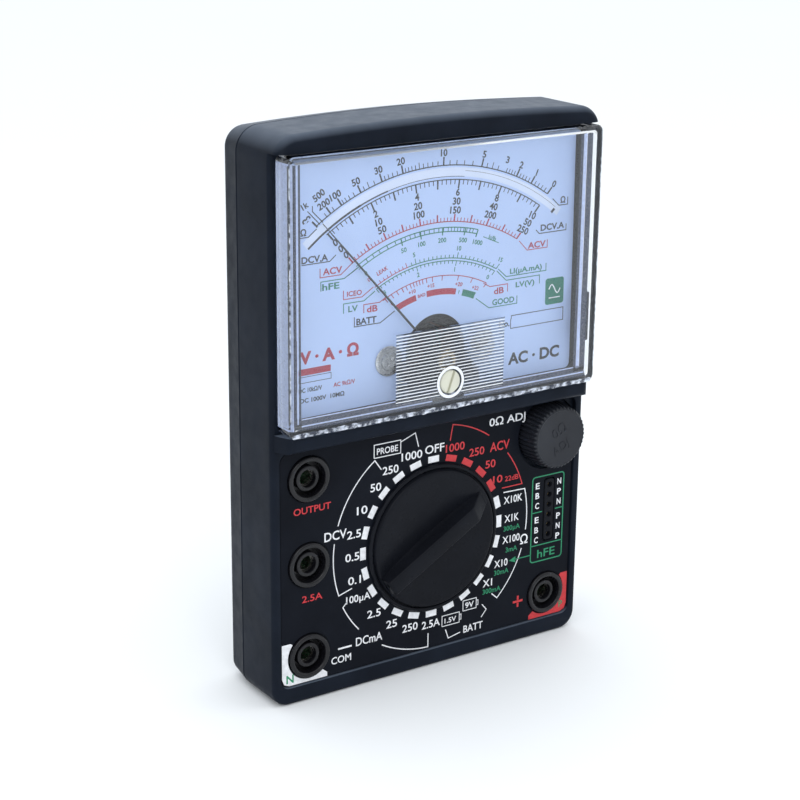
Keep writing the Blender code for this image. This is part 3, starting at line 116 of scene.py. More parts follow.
class Shape:
    """Gathers closed shapes, given in millimetres, into one mesh."""

    def __init__(self):
        self.bm = bmesh.new()

    def vert(self, x, y, z):
        return self.bm.verts.new(place(x, y, z))

    def loft(self, rings, closed=False):
        rows = [[self.vert(*point) for point in ring] for ring in rings]
        count = len(rows[0])
        pairs = list(zip(rows, rows[1:]))
        if closed:
            pairs.append((rows[-1], rows[0]))
        for near, far in pairs:
            for i in range(count):
                j = (i + 1) % count
                self.bm.faces.new((near[i], near[j], far[j], far[i]))
        if not closed:
            self.bm.faces.new(rows[0])
            self.bm.faces.new(list(reversed(rows[-1])))
        return self

    def outlines(self, levels, closed=False):
        """Loft (outline, depth) pairs."""
        return self.loft([[(x, y, z) for x, z in outline] for outline, y in levels], closed)

    def prism(self, outline, y0, y1):
        return self.outlines([(outline, y0), (outline, y1)])

    def box(self, x0, y0, z0, x1, y1, z1):
        return self.prism([(x0, z0), (x1, z0), (x1, z1), (x0, z1)], y0, y1)

    def turned(self, profile, x, z, segments, closed=False):
        """Turn a (radius, y) profile about the Y line through x, z. Closed ones stay off the axis."""
        rings = [[(*turned_point(x, z, 360.0 * i / segments, r), y) for i in range(segments)]
                 for r, y in profile]
        rings = [[(px, y, pz) for px, pz, y in ring] for ring in rings]
        return self.loft(rings, closed)

    def turn(self, x, z, degrees):
        centre = place(x, 0, z)
        matrix = (Matrix.Translation(centre) @ Matrix.Rotation(math.radians(degrees), 4, "Y")
                  @ Matrix.Translation(-centre))
        self.bm.transform(matrix)
        return self

    def kept_above(self, z):
        parts = list(self.bm.verts) + list(self.bm.edges) + list(self.bm.faces)
        sliced = bmesh.ops.bisect_plane(self.bm, geom=parts, plane_co=(0, 0, z * MM),
                                        plane_no=(0, 0, 1), clear_inner=True)
        edges = [part for part in sliced["geom_cut"] if isinstance(part, bmesh.types.BMEdge)]
        bmesh.ops.contextual_create(self.bm, geom=edges)
        return self

    def mesh(self, name):
        bmesh.ops.recalc_face_normals(self.bm, faces=self.bm.faces)
        data = bpy.data.meshes.new(name)
        self.bm.to_mesh(data)
        self.bm.free()
        return data


def piece(name, shape, material, body="housing", stands_for=(), steps=(), angle=32):
    """Make one visible piece. steps are (operation, Shape) Booleans, applied at once."""
    item = bpy.data.objects.new(name, shape.mesh(name))
    bpy.context.scene.collection.objects.link(item)
    tools = []
    for operation, tool_shape in steps:
        tool = bpy.data.objects.new("tool", tool_shape.mesh("tool"))
        bpy.context.scene.collection.objects.link(tool)
        tools.append(tool)
        modifier = item.modifiers.new("step", "BOOLEAN")
        modifier.object = tool
        modifier.operation = operation
        modifier.solver = "EXACT"
    if tools:
        bpy.context.view_layer.update()
        depsgraph = bpy.context.evaluated_depsgraph_get()
        made = bpy.data.meshes.new_from_object(item.evaluated_get(depsgraph))
        item.modifiers.clear()
        item.data = made
        for tool in tools:
            data = tool.data
            bpy.data.objects.remove(tool)
            bpy.data.meshes.remove(data)
    item.data.name = name
    item.data.shade_smooth()
    item.data.set_sharp_from_angle(angle=math.radians(angle))
    item.data.materials.clear()
    item.data.materials.append(material)
    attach(item, body)
    if stands_for:
        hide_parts(*stands_for)
    return item


# ---------------------------------------------------------------- materials

class Nodes:
    """A short way to build a node material around one Principled shader."""

    def __init__(self, name):
        self.material = bpy.data.materials.new(name)
        self.material.use_nodes = True
        self.tree = self.material.node_tree
        self.shader = self.tree.nodes["Principled BSDF"]
        self.output = self.tree.nodes["Material Output"]
        self.coords = self.add("ShaderNodeTexCoord").outputs["Object"]

    def add(self, kind, **values):
        node = self.tree.nodes.new(kind)
        for key, value in values.items():
            setattr(node, key, value)
        return node

    def link(self, a, b):
        self.tree.links.new(a, b)

    def set(self, **values):
        for key, value in values.items():
            self.shader.inputs[key.replace("_", " ")].default_value = value
        return self

    def noise(self, scale, detail=3.0, rough=0.55, stretch=None):
        node = self.add("ShaderNodeTexNoise")
        node.inputs["Scale"].default_value = scale
        node.inputs["Detail"].default_value = detail
        node.inputs["Roughness"].default_value = rough
        source = self.coords
        if stretch:
            mapping = self.add("ShaderNodeMapping")
            mapping.inputs["Scale"].default_value = stretch
            mapping.inputs["Rotation"].default_value = (0.0, 0.5, 0.0)
            self.link(self.coords, mapping.inputs["Vector"])
            source = mapping.outputs["Vector"]
        self.link(source, node.inputs["Vector"])
        return node.outputs["Fac"]

    def ramp(self, source, stops):
        node = self.add("ShaderNodeValToRGB")
        elements = node.color_ramp.elements
        while len(elements) < len(stops):
            elements.new(0.5)
        for element, (position, colour) in zip(elements, stops):
            element.position = position
            element.color = (*colour, 1.0) if len(colour) == 3 else colour
        self.link(source, node.inputs["Fac"])
        return node.outputs["Color"]

    def spread(self, source, low, high, start=0.3, end=0.7):
        node = self.add("ShaderNodeMapRange")
        node.inputs["From Min"].default_value = start
        node.inputs["From Max"].default_value = end
        node.inputs["To Min"].default_value = low
        node.inputs["To Max"].default_value = high
        self.link(source, node.inputs["Value"])
        return node.outputs["Result"]

    def bump(self, source, distance, strength=1.0):
        node = self.add("ShaderNodeBump")
        node.inputs["Strength"].default_value = strength
        node.inputs["Distance"].default_value = distance
        self.link(source, node.inputs["Height"])
        self.link(node.outputs["Normal"], self.shader.inputs["Normal"])
        return self


def tone(colour, share):
    return tuple(min(1.0, channel * share) for channel in colour)


def dusted(n, colour, amount):
    """Paint a pale sheen, in patches, over the faces that look up: painted highlight on the top."""
    split = n.add("ShaderNodeSeparateXYZ")
    n.link(n.add("ShaderNodeNewGeometry").outputs["Normal"], split.inputs[0])
    mix = n.add("ShaderNodeMix", data_type="RGBA")
    n.link(n.spread(split.outputs["Z"], 0.0, amount, 0.35, 1.0), mix.inputs["Factor"])
    n.link(colour, mix.inputs["A"])
    n.link(n.ramp(n.noise(140.0, 5.0), [(0.3, (0.150, 0.185, 0.245)), (0.7, (0.190, 0.230, 0.300))]),
           mix.inputs["B"])
    return mix.outputs["Result"]


def plastic(name, colour, rough, grain=5200.0, depth=0.000012, vary=0.22, spread=0.07, specular=0.5,
            top_sheen=0.0):
    """Moulded plastic: a fine spark-eroded grain, patchy sheen and faint tone changes."""
    n = Nodes(name)
    patches = n.noise(70.0, 4.0)
    mottled = n.ramp(patches, [(0.3, tone(colour, 1 - vary)), (0.7, tone(colour, 1 + vary))])
    # Painted highlight: a pale sheen painted over the faces that look up.
    if top_sheen:
        mottled = dusted(n, mottled, top_sheen)
    n.link(mottled, n.shader.inputs["Base Color"])
    n.link(n.spread(n.noise(260.0, 5.0), rough - spread, rough + spread), n.shader.inputs["Roughness"])
    n.set(Specular_IOR_Level=specular)
    n.bump(n.noise(grain, 2.0), depth)
    return n.material


def metal(name, colour, rough, scale=900.0, stretch=(1, 1, 1), depth=0.000006):
    """Plated or drawn metal: fine lines, and a little tarnish in patches."""
    n = Nodes(name)
    n.set(Metallic=1.0)
    n.link(n.ramp(n.noise(300.0, 5.0), [(0.3, tone(colour, 0.72)), (0.7, colour)]),
           n.shader.inputs["Base Color"])
    n.link(n.spread(n.noise(scale, 4.0, stretch=stretch), rough - 0.08, rough + 0.12),
           n.shader.inputs["Roughness"])
    n.bump(n.noise(scale * 3, 2.0, stretch=stretch), depth)
    return n.material


def ink(name, colour, rough=0.45):
    """Screen-printed ink: slightly uneven cover. Also gives the painted reflections on the cover's edges and
    ribs.
    """
    n = Nodes(name)
    n.link(n.ramp(n.noise(900.0, 4.0), [(0.25, tone(colour, 0.8)), (0.75, tone(colour, 1.08))]),
           n.shader.inputs["Base Color"])
    n.link(n.spread(n.noise(1500.0), rough - 0.08, rough + 0.1), n.shader.inputs["Roughness"])
    n.bump(n.noise(5000.0, 2.0), 0.000004)
    return n.material


def film(name):
    """Creased film with painted glints and painted shade: the crease noise paints bright and dark patches
    into the colour, and also bumps the creases.
    """
    n = Nodes(name)
    creases_and_glints = n.noise(620.0, 6.0)
    # Painted glints and painted shade, from the same noise as the creases.
    n.link(n.ramp(creases_and_glints, [(0.42, (0.030, 0.040, 0.070)), (0.60, (0.80, 0.85, 0.95))]),
           n.shader.inputs["Base Color"])
    n.link(n.spread(n.noise(900.0), 0.08, 0.25), n.shader.inputs["Roughness"])
    n.bump(creases_and_glints, 0.00025)
    return n.material


def lamp_through(n, tint):
    """Let lamp rays pass the clear part, so that what is under it stays lit."""
    path = n.add("ShaderNodeLightPath")
    clear = n.add("ShaderNodeBsdfTransparent")
    clear.inputs["Color"].default_value = (*tint, 1.0)
    mix = n.add("ShaderNodeMixShader")
    n.link(path.outputs["Is Shadow Ray"], mix.inputs[0])
    n.link(n.shader.outputs[0], mix.inputs[1])
    n.link(clear.outputs[0], mix.inputs[2])
    n.link(mix.outputs[0], n.output.inputs["Surface"])


def clear_plastic(name):
    """Clear styrene, with hazy scuffs where the noise masks meet."""
    n = Nodes(name)
    n.set(IOR=1.49)
    n.shader.inputs["Transmission Weight"].default_value = 1.0
    n.shader.inputs["Base Color"].default_value = (0.965, 0.98, 1.0, 1.0)
    streak = n.noise(240.0, 6.0, 0.7, stretch=(1.0, 1.0, 5.0))
    n.link(n.spread(streak, 0.004, 0.02, 0.55, 0.8), n.shader.inputs["Roughness"])
    n.bump(n.noise(160.0, 5.0), 0.000003)
    lamp_through(n, (0.94, 0.96, 0.99))
    return n.material


def make_materials():
    m = {}
    # The case gets a painted sheen on its upward faces (painted highlight).
    m["case"] = plastic("case_plastic_look", (0.0085, 0.0120, 0.0200), 0.42, specular=0.06, top_sheen=0.5)
    m["panel"] = plastic("panel_plate_look", (0.0065, 0.0080, 0.0125), 0.36, grain=7000.0, depth=0.000006,
                         specular=0.05)
    m["knob"] = plastic("knob_plastic_look", (0.0075, 0.0085, 0.0120), 0.30, grain=6000.0, depth=0.000007,
                        specular=0.08)
    m["adjust"] = plastic("adjust_plastic_look", (0.014, 0.016, 0.022), 0.42, grain=5000.0, specular=0.3)
    m["jack"] = plastic("jack_plastic_look", (0.006, 0.006, 0.008), 0.24, grain=4000.0, depth=0.000004,
                        specular=0.35)
    m["dark"] = plastic("inner_plastic_look", (0.004, 0.004, 0.005), 0.6, specular=0.1)
    m["cream"] = plastic("cream_plastic_look", (0.66, 0.66, 0.55), 0.42, grain=3000.0, vary=0.12)
    m["dial"] = plastic("dial_paint_look", (0.49, 0.62, 0.90), 0.55, grain=2500.0, depth=0.000004, vary=0.03)
    m["board"] = plastic("board_mask_look", (0.03, 0.16, 0.07), 0.4, grain=1500.0)
    m["cell"] = plastic("cell_jacket_look", (0.04, 0.09, 0.28), 0.3, grain=900.0)
    m["block"] = plastic("block_jacket_look", (0.05, 0.05, 0.06), 0.3, grain=900.0)
    m["steel"] = metal("steel_look", (0.56, 0.57, 0.58), 0.28, stretch=(1, 1, 6))
    m["nickel"] = metal("nickel_look", (0.66, 0.64, 0.60), 0.22)
    m["brass"] = metal("brass_look", (0.72, 0.54, 0.26), 0.28)
    m["aluminium"] = metal("aluminium_look", (0.72, 0.73, 0.75), 0.32, stretch=(6, 1, 1))
    m["copper"] = metal("copper_wire_look", (0.20, 0.075, 0.040), 0.45, scale=2600.0, stretch=(1, 8, 1))
    m["magnet"] = metal("magnet_look", (0.09, 0.09, 0.10), 0.55)
    m["blackened"] = plastic("blackened_metal_look", (0.006, 0.006, 0.008), 0.5, specular=0.2)
    m["film"] = film("creased_film_painted_glints")
    # Painted reflections for the cover's edges: pale lines and dark lines.
    m["edge_pale"] = ink("cover_edge_pale", (0.52, 0.60, 0.84), 0.3)
    m["edge_navy"] = ink("cover_edge_navy", (0.020, 0.030, 0.065), 0.25)
    # Painted dark reflections in the rib valleys and painted highlights on the rib crests.
    m["rib_shade"] = ink("rib_shade_look", (0.030, 0.042, 0.075), 0.3)
    m["frost"] = plastic("frosted_rib_look", (0.88, 0.91, 0.97), 0.4, specular=0.5, vary=0.05)
    m["mirror"] = plastic("mirror_band_look", (0.68, 0.76, 0.93), 0.10, depth=0.000001, vary=0.03,
                          spread=0.04)
    m["black"] = ink("black_ink", (0.010, 0.012, 0.022))
    m["needle"] = ink("needle_paint", (0.008, 0.009, 0.013), 0.4)
    m["red"] = ink("red_ink", (0.40, 0.022, 0.055))
    m["green"] = ink("green_ink", (0.008, 0.19, 0.125))
    m["white"] = ink("white_ink", (0.86, 0.87, 0.90))
    m["panel_red"] = ink("panel_red_ink", (0.60, 0.022, 0.030))
    m["panel_green"] = ink("panel_green_ink", (0.005, 0.25, 0.11))
    m["clear"] = clear_plastic("cover_clear")
    return m


M = make_materials()


# ---------------------------------------------------------------- case

def front_case():
    shell = Shape()
    shell.outlines([(case_outline(0.0), 14.85), (case_outline(0.0), 14.6)]
                   + [(case_outline(inset), y) for inset, y in quarter(-RIM, 1.2)])
    hood = Shape()
    hood.outlines([(case_outline(0.0), 1.5)] + [(case_outline(i), y) for i, y in quarter(-4.2, 2.6, 9)])
    hood.kept_above(HOOD_Z)
    ledge = Shape()
    rings = []
    for inset, y in [(0.0, 1.5)] + quarter(-5.6, 1.4):
        end = HALF_W - 2.9 * max(0.0, -y) / 5.6 - inset
        low = 70.9 + inset
        high = 75.2 - inset / 3
        rings.append([(-end, y, low), (end, y, low), (end, y, high), (-end, y, high)])
    ledge.loft(rings)
    cavity = Shape()
    cavity.outlines([(case_outline(2.2), 2.4), (case_outline(2.2), 16.0)])
    lip_room = Shape()
    lip_room.outlines([(case_outline(0.9), 13.1), (case_outline(0.9), 16.0)])

    recess = Shape()
    for x0, z0, x1, z1, r, floor in ((-47.5, 4.9, 47.5, 69.7, 2.5, 0.8),
                                     (-45.0, 77.7, 45.0, HOOD_Z + 0.6, 1.5, 1.4)):
        recess.outlines([(rounded(x0, z0, x1, z1, r), floor), (rounded(x0, z0, x1, z1, r), -RIM + 0.35),
                         (rounded(x0 - 0.1, z0 - 0.1, x1 + 0.1, z1 + 0.1, r + 0.1), -RIM + 0.12),
                         (rounded(x0 - 0.35, z0 - 0.35, x1 + 0.35, z1 + 0.35, r + 0.35), -RIM - 0.02),
                         (rounded(x0 - 0.4, z0 - 0.4, x1 + 0.4, z1 + 0.4, r + 0.4), -RIM - 0.06)]
                        if floor < 1 else
                        [(rounded(x0, z0, x1, z1, r), floor), (rounded(x0, z0, x1, z1, r), -RIM - 0.06)])
    pocket = Shape()
    pocket.turned([(10.3, -1.6), (10.3, 2.2)], *ADJ, 72)

    posts = Shape()
    for x, z, r, end in ((0.0, 141.3, 3.0, 14.0), (0.0, 7.5, 3.0, 14.0), (-22.0, 66.0, 3.0, 10.7),
                         (22.0, 11.0, 3.0, 10.7), (22.0, 66.0, 3.0, 10.7), (-22.0, 11.0, 3.0, 10.7),
                         (-27.0, 85.0, 3.0, 6.1), (27.0, 85.0, 3.0, 6.1), (37.5, 59.2, 11.7, 4.0)):
        posts.turned([(r, 1.9), (r, end - 0.3), (r - 0.3, end)], x, z, 32)
    holes = Shape()
    for x, z in JACKS.values():
        holes.turned([(5.6, -1.6), (5.6, 5.0)], x, z, 40)
    holes.turned([(9.5, -1.6), (9.5, 5.0)], 0.0, SELECTOR_Z, 48)
    holes.turned([(3.3, -1.6), (3.3, 5.0)], *ADJ, 32)
    holes.prism(rounded(37.65, 28.2, 41.55, 47.0, 1.0), -1.6, 5.0)
    holes.prism(rounded(-18.4, 77.0, 18.4, 101.0, 2.0), -1.6, 5.0)
    for x, z, r, start, end in ((0.0, 141.3, 1.6, 3.4, 15.0), (0.0, 7.5, 1.6, 3.4, 15.0),
                                (-22.0, 66.0, 1.2, 3.4, 12.0), (22.0, 11.0, 1.2, 3.4, 12.0),
                                (-27.0, 85.0, 1.2, 2.9, 7.4), (27.0, 85.0, 1.2, 2.9, 7.4)):
        holes.turned([(r, start), (r, end)], x, z, 20)
    lugs = Shape()
    for side in (-1, 1):
        x0, x1 = sorted((side * 46.4, side * 45.2))
        lugs.outlines([(rounded(x0, 87.0, x1, 100.5, 0.4, 3), y) for y in (0.5, -4.9)]
                      + [(rounded(x0 + 0.3, 87.3, x1 - 0.3, 100.2, 0.2, 3), -5.2)])
    piece("front_case_shell", shell, M["case"], "housing", ["front_case"],
          [("UNION", hood), ("UNION", ledge), ("DIFFERENCE", cavity), ("DIFFERENCE", lip_room),
           ("UNION", posts), ("DIFFERENCE", recess), ("DIFFERENCE", pocket), ("DIFFERENCE", holes),
           ("UNION", lugs)])


def rear_case():
    shell = Shape()
    levels = [(case_outline(0.25), 15.15), (case_outline(0.0), 15.4), (case_outline(1.0), 21.5)]
    for i in range(1, 9):
        a = math.pi / 2 * i / 8
        levels.append((case_outline(1.0 + 4.0 * (1 - math.cos(a))), 25.5 - 4.0 * (1 - math.sin(a))))
    shell.outlines(levels)
    cavity = Shape()
    cavity.outlines([(case_outline(2.2), 14.0), (case_outline(3.2), 21.5), (case_outline(4.8), 23.5)])
    lip = Shape()
    lip.outlines([(case_outline(1.2), 13.4), (case_outline(1.2), 16.0)])
    lip_bore = Shape()
    lip_bore.outlines([(case_outline(2.2), 12.4), (case_outline(2.2), 17.0)])
    posts = Shape()
    holes = Shape()
    for z in (141.3, 7.5):
        posts.turned([(4.0, 14.3), (4.0, 24.0)], 0.0, z, 32)
        holes.turned([(1.6, 13.0), (1.6, 22.7), (3.2, 22.7), (3.2, 25.2), (3.6, 25.6), (3.6, 26.5)],
                     0.0, z, 32)
    ribs = Shape()
    for i in range(9):
        z = 28.0 + 3.2 * i
        ribs.outlines([(rounded(-24.0, z, 24.0, z + 1.0, 0.5, 4), 26.5),
                       (rounded(-24.0, z, 24.0, z + 1.0, 0.5, 4), 25.1)])
    piece("rear_case_shell", shell, M["case"], "back", ["rear_case"],
          [("DIFFERENCE", cavity), ("UNION", lip), ("DIFFERENCE", lip_bore), ("UNION", posts),
           ("DIFFERENCE", holes), ("DIFFERENCE", ribs)])


def control_panel():
    plate = Shape()
    outline = rounded(-47.2, 5.2, 47.2, 69.4, 2.5)
    plate.prism(outline, 0.0, 0.5)
    pocket = Shape()
    pocket.turned([(10.3, -1.0), (10.3, 1.5)], *ADJ, 72)
    corner = Shape()
    corner.box(ADJ[0] + 3.0, -1.5, ADJ[1] + 3.0, 60.0, 2.0, 80.0)
    holes = Shape()
    for x, z in JACKS.values():
        holes.turned([(6.35, -1.0), (6.35, 1.5)], x, z, 48)
    holes.turned([(9.8, -1.0), (9.8, 1.5)], 0.0, SELECTOR_Z, 48)
    holes.prism(rounded(37.65, 28.2, 41.55, 47.0, 1.0), -1.0, 1.5)
    piece("control_plate", plate, M["panel"], "housing", ["control_panel"],
          [("DIFFERENCE", pocket), ("DIFFERENCE", corner), ("DIFFERENCE", holes)])


def meter_cover():
    x0, z0, x1, z1 = COVER
    body = Shape()
    levels = [(rounded(x0, z0, x1, z1, 1.8), -0.9)]
    for inset, y in quarter(COVER_FRONT, 1.0):
        levels.append((rounded(x0 + inset, z0 + inset, x1 - inset, z1 - inset, 1.8 - inset / 2), y))
    body.outlines(levels)
    hollow = Shape()
    hollow.outlines([(rounded(x0 + 1.5, z0 + 1.5, x1 - 1.5, z1 - 1.5, 1.0), 0.5),
                     (rounded(x0 + 1.5, z0 + 1.5, x1 - 1.5, z1 - 1.5, 1.0), -5.0),
                     (rounded(x0 + 2.0, z0 + 2.0, x1 - 2.0, z1 - 2.0, 1.0), -5.5)])
    hole = Shape()
    hole.turned([(3.45, -8.0), (3.45, -1.0)], 0.0, ZERO_Z, 48)
    flutes = Shape()
    for i in range(RIBS):
        z = RIB_Z + RIB_STEP * i
        flutes.loft([[(x, COVER_FRONT - 0.3, z), (x, COVER_FRONT - 0.3, z + 0.62),
                      (x, COVER_FRONT + 0.12, z + 0.50), (x, COVER_FRONT + 0.22, z + 0.31),
                      (x, COVER_FRONT + 0.12, z + 0.12)] for x in (-17.0, 17.0)])
    piece("meter_window", body, M["clear"], "housing", ["meter_cover"],
          [("DIFFERENCE", hollow), ("DIFFERENCE", hole), ("DIFFERENCE", flutes)], angle=25)


def rib_crests():
    """Painted highlights on the crests and painted dark reflections in the valleys of the ribs moulded over
    the movement.
    """
    def stroke(target, z, half, width):
        """A rib line that stops short of the hole for the zero screw."""
        off = z - ZERO_Z
        gap = math.sqrt(max(4.45 ** 2 - off ** 2, 0.0))
        if gap > 0.1:
            target.line([(-half, z), (-gap, z)], width)
            target.line([(gap, z), (half, z)], width)
        else:
            target.line([(-half, z), (half, z)], width)

    crests = Print(COVER_FRONT, 0.03)
    for i in range(RIBS - 1):
        stroke(crests, RIB_Z + RIB_STEP * i + 0.745, 17.0, 0.24)
    piece("cover_rib_crests", crests, M["frost"])
    valleys = Print(COVER_FRONT + 0.24, 0.02)
    for i in range(RIBS):
        stroke(valleys, RIB_Z + RIB_STEP * i + 0.31, 16.9, 0.17)
    piece("cover_rib_valleys", valleys, M["rib_shade"])
    # A painted highlight ring around the hole for the zero screw.
    rim = Shape()
    rim.turned([(3.5, COVER_FRONT - 0.03), (4.3, COVER_FRONT - 0.03), (4.3, COVER_FRONT + 0.01),
                (3.5, COVER_FRONT + 0.01)], 0.0, ZERO_Z, 48, closed=True)
    piece("cover_hole_rim", rim, M["frost"])


# ---------------------------------------------------------------- printing

class Print(Shape):
    """Thin raised ink: strokes, bars and letters on one flat surface."""

    def __init__(self, surface, thick=0.02, weight=1.0, bold=0.0):
        super().__init__()
        self.y0 = surface - thick
        self.y1 = surface + 0.01
        self.weight = weight
        self.bold = bold

    def line(self, points, width):
        """A stroke along (x, z) points, with mitred corners."""
        left = []
        right = []
        for i, (x, z) in enumerate(points):
            before = points[max(i - 1, 0)]
            after = points[min(i + 1, len(points) - 1)]
            ways = []
            for a, b in ((before, (x, z)), ((x, z), after)):
                d = Vector((b[0] - a[0], b[1] - a[1]))
                if d.length > 1e-6:
                    ways.append(d.normalized())
            way = (ways[0] + ways[-1]).normalized()
            half = width * self.weight / 2
            side = Vector((-way.y, way.x)) * half / max(0.5, way.dot(ways[0]))
            left.append((x + side.x, z + side.y))
            right.append((x - side.x, z - side.y))
        rows = []
        for (lx, lz), (rx, rz) in zip(left, right):
            rows.append([(lx, self.y0, lz), (rx, self.y0, rz), (rx, self.y1, rz), (lx, self.y1, lz)])
        return self.loft(rows)

    def fill(self, outline):
        return self.prism(outline, self.y0, self.y1)

    def curve(self, cx, cz, r, a0, a1, width, steps=None):
        """An arc stroke, with angles clockwise from up."""
        steps = steps or max(4, int(abs(a1 - a0) / 2.5))
        return self.line([turned_point(cx, cz, a0 + (a1 - a0) * i / steps, r) for i in range(steps + 1)],
                         width)

    def text(self, words, x, z, height, turn=0.0, width=None, bold=None):
        """Letters centred on x, z with the given capital height, turned clockwise in degrees."""
        curve = bpy.data.curves.new("letters", "FONT")
        curve.body = words
        curve.size = 1.0
        curve.resolution_u = 3
        curve.offset = self.bold if bold is None else bold
        curve.extrude = 0.01
        item = bpy.data.objects.new("letters", curve)
        bpy.context.scene.collection.objects.link(item)
        bpy.context.view_layer.update()
        data = bpy.data.meshes.new_from_object(item.evaluated_get(bpy.context.evaluated_depsgraph_get()))
        xs = [v.co.x for v in data.vertices]
        tall = height / 0.73
        wide = tall if width is None else width / (max(xs) - min(xs))
        mid = (max(xs) + min(xs)) / 2
        a = math.radians(turn)
        made = []
        for v in data.vertices:
            px = (v.co.x - mid) * wide
            pz = v.co.y * tall - height / 2
            y = self.y0 if v.co.z > 0 else self.y1
            made.append(self.vert(x + px * math.cos(a) + pz * math.sin(a), y,
                                  z - px * math.sin(a) + pz * math.cos(a)))
        for polygon in data.polygons:
            self.bm.faces.new([made[i] for i in polygon.vertices])
        bpy.data.objects.remove(item)
        bpy.data.curves.remove(curve)
        bpy.data.meshes.remove(data)
        return self


def on_arc(share, radius, drop=0.0):
    """Where the needle at a share of full scale crosses an arc about the dial's own centre."""
    degrees = -42.0 + 84.0 * share
    a = math.radians(degrees)
    rise = PIVOT_Z - ARC_Z
    reach = -rise * math.cos(a) + math.sqrt(radius ** 2 - (rise * math.sin(a)) ** 2)
    return turned_point(0.0, PIVOT_Z, degrees, reach - drop)


def tilt(point):
    return math.degrees(math.atan2(point[0], point[1] - ARC_Z))


def tick(ink_print, share, r0, r1, width):
    ink_print.line([on_arc(share, r0), on_arc(share, r1)], width)


def arc_between(ink_print, share0, share1, radius, width, steps=40):
    ink_print.line([on_arc(share0 + (share1 - share0) * i / steps, radius) for i in range(steps + 1)],
                   width)


def label(target, words, x, z, height, width, *leader):
    """A word on the dial and the thin line that leads from it to its scale."""
    target.text(words, x, SELECTOR_Z + z, height, width=width)
    target.line([(a, SELECTOR_Z + b) for a, b in leader], 0.14)


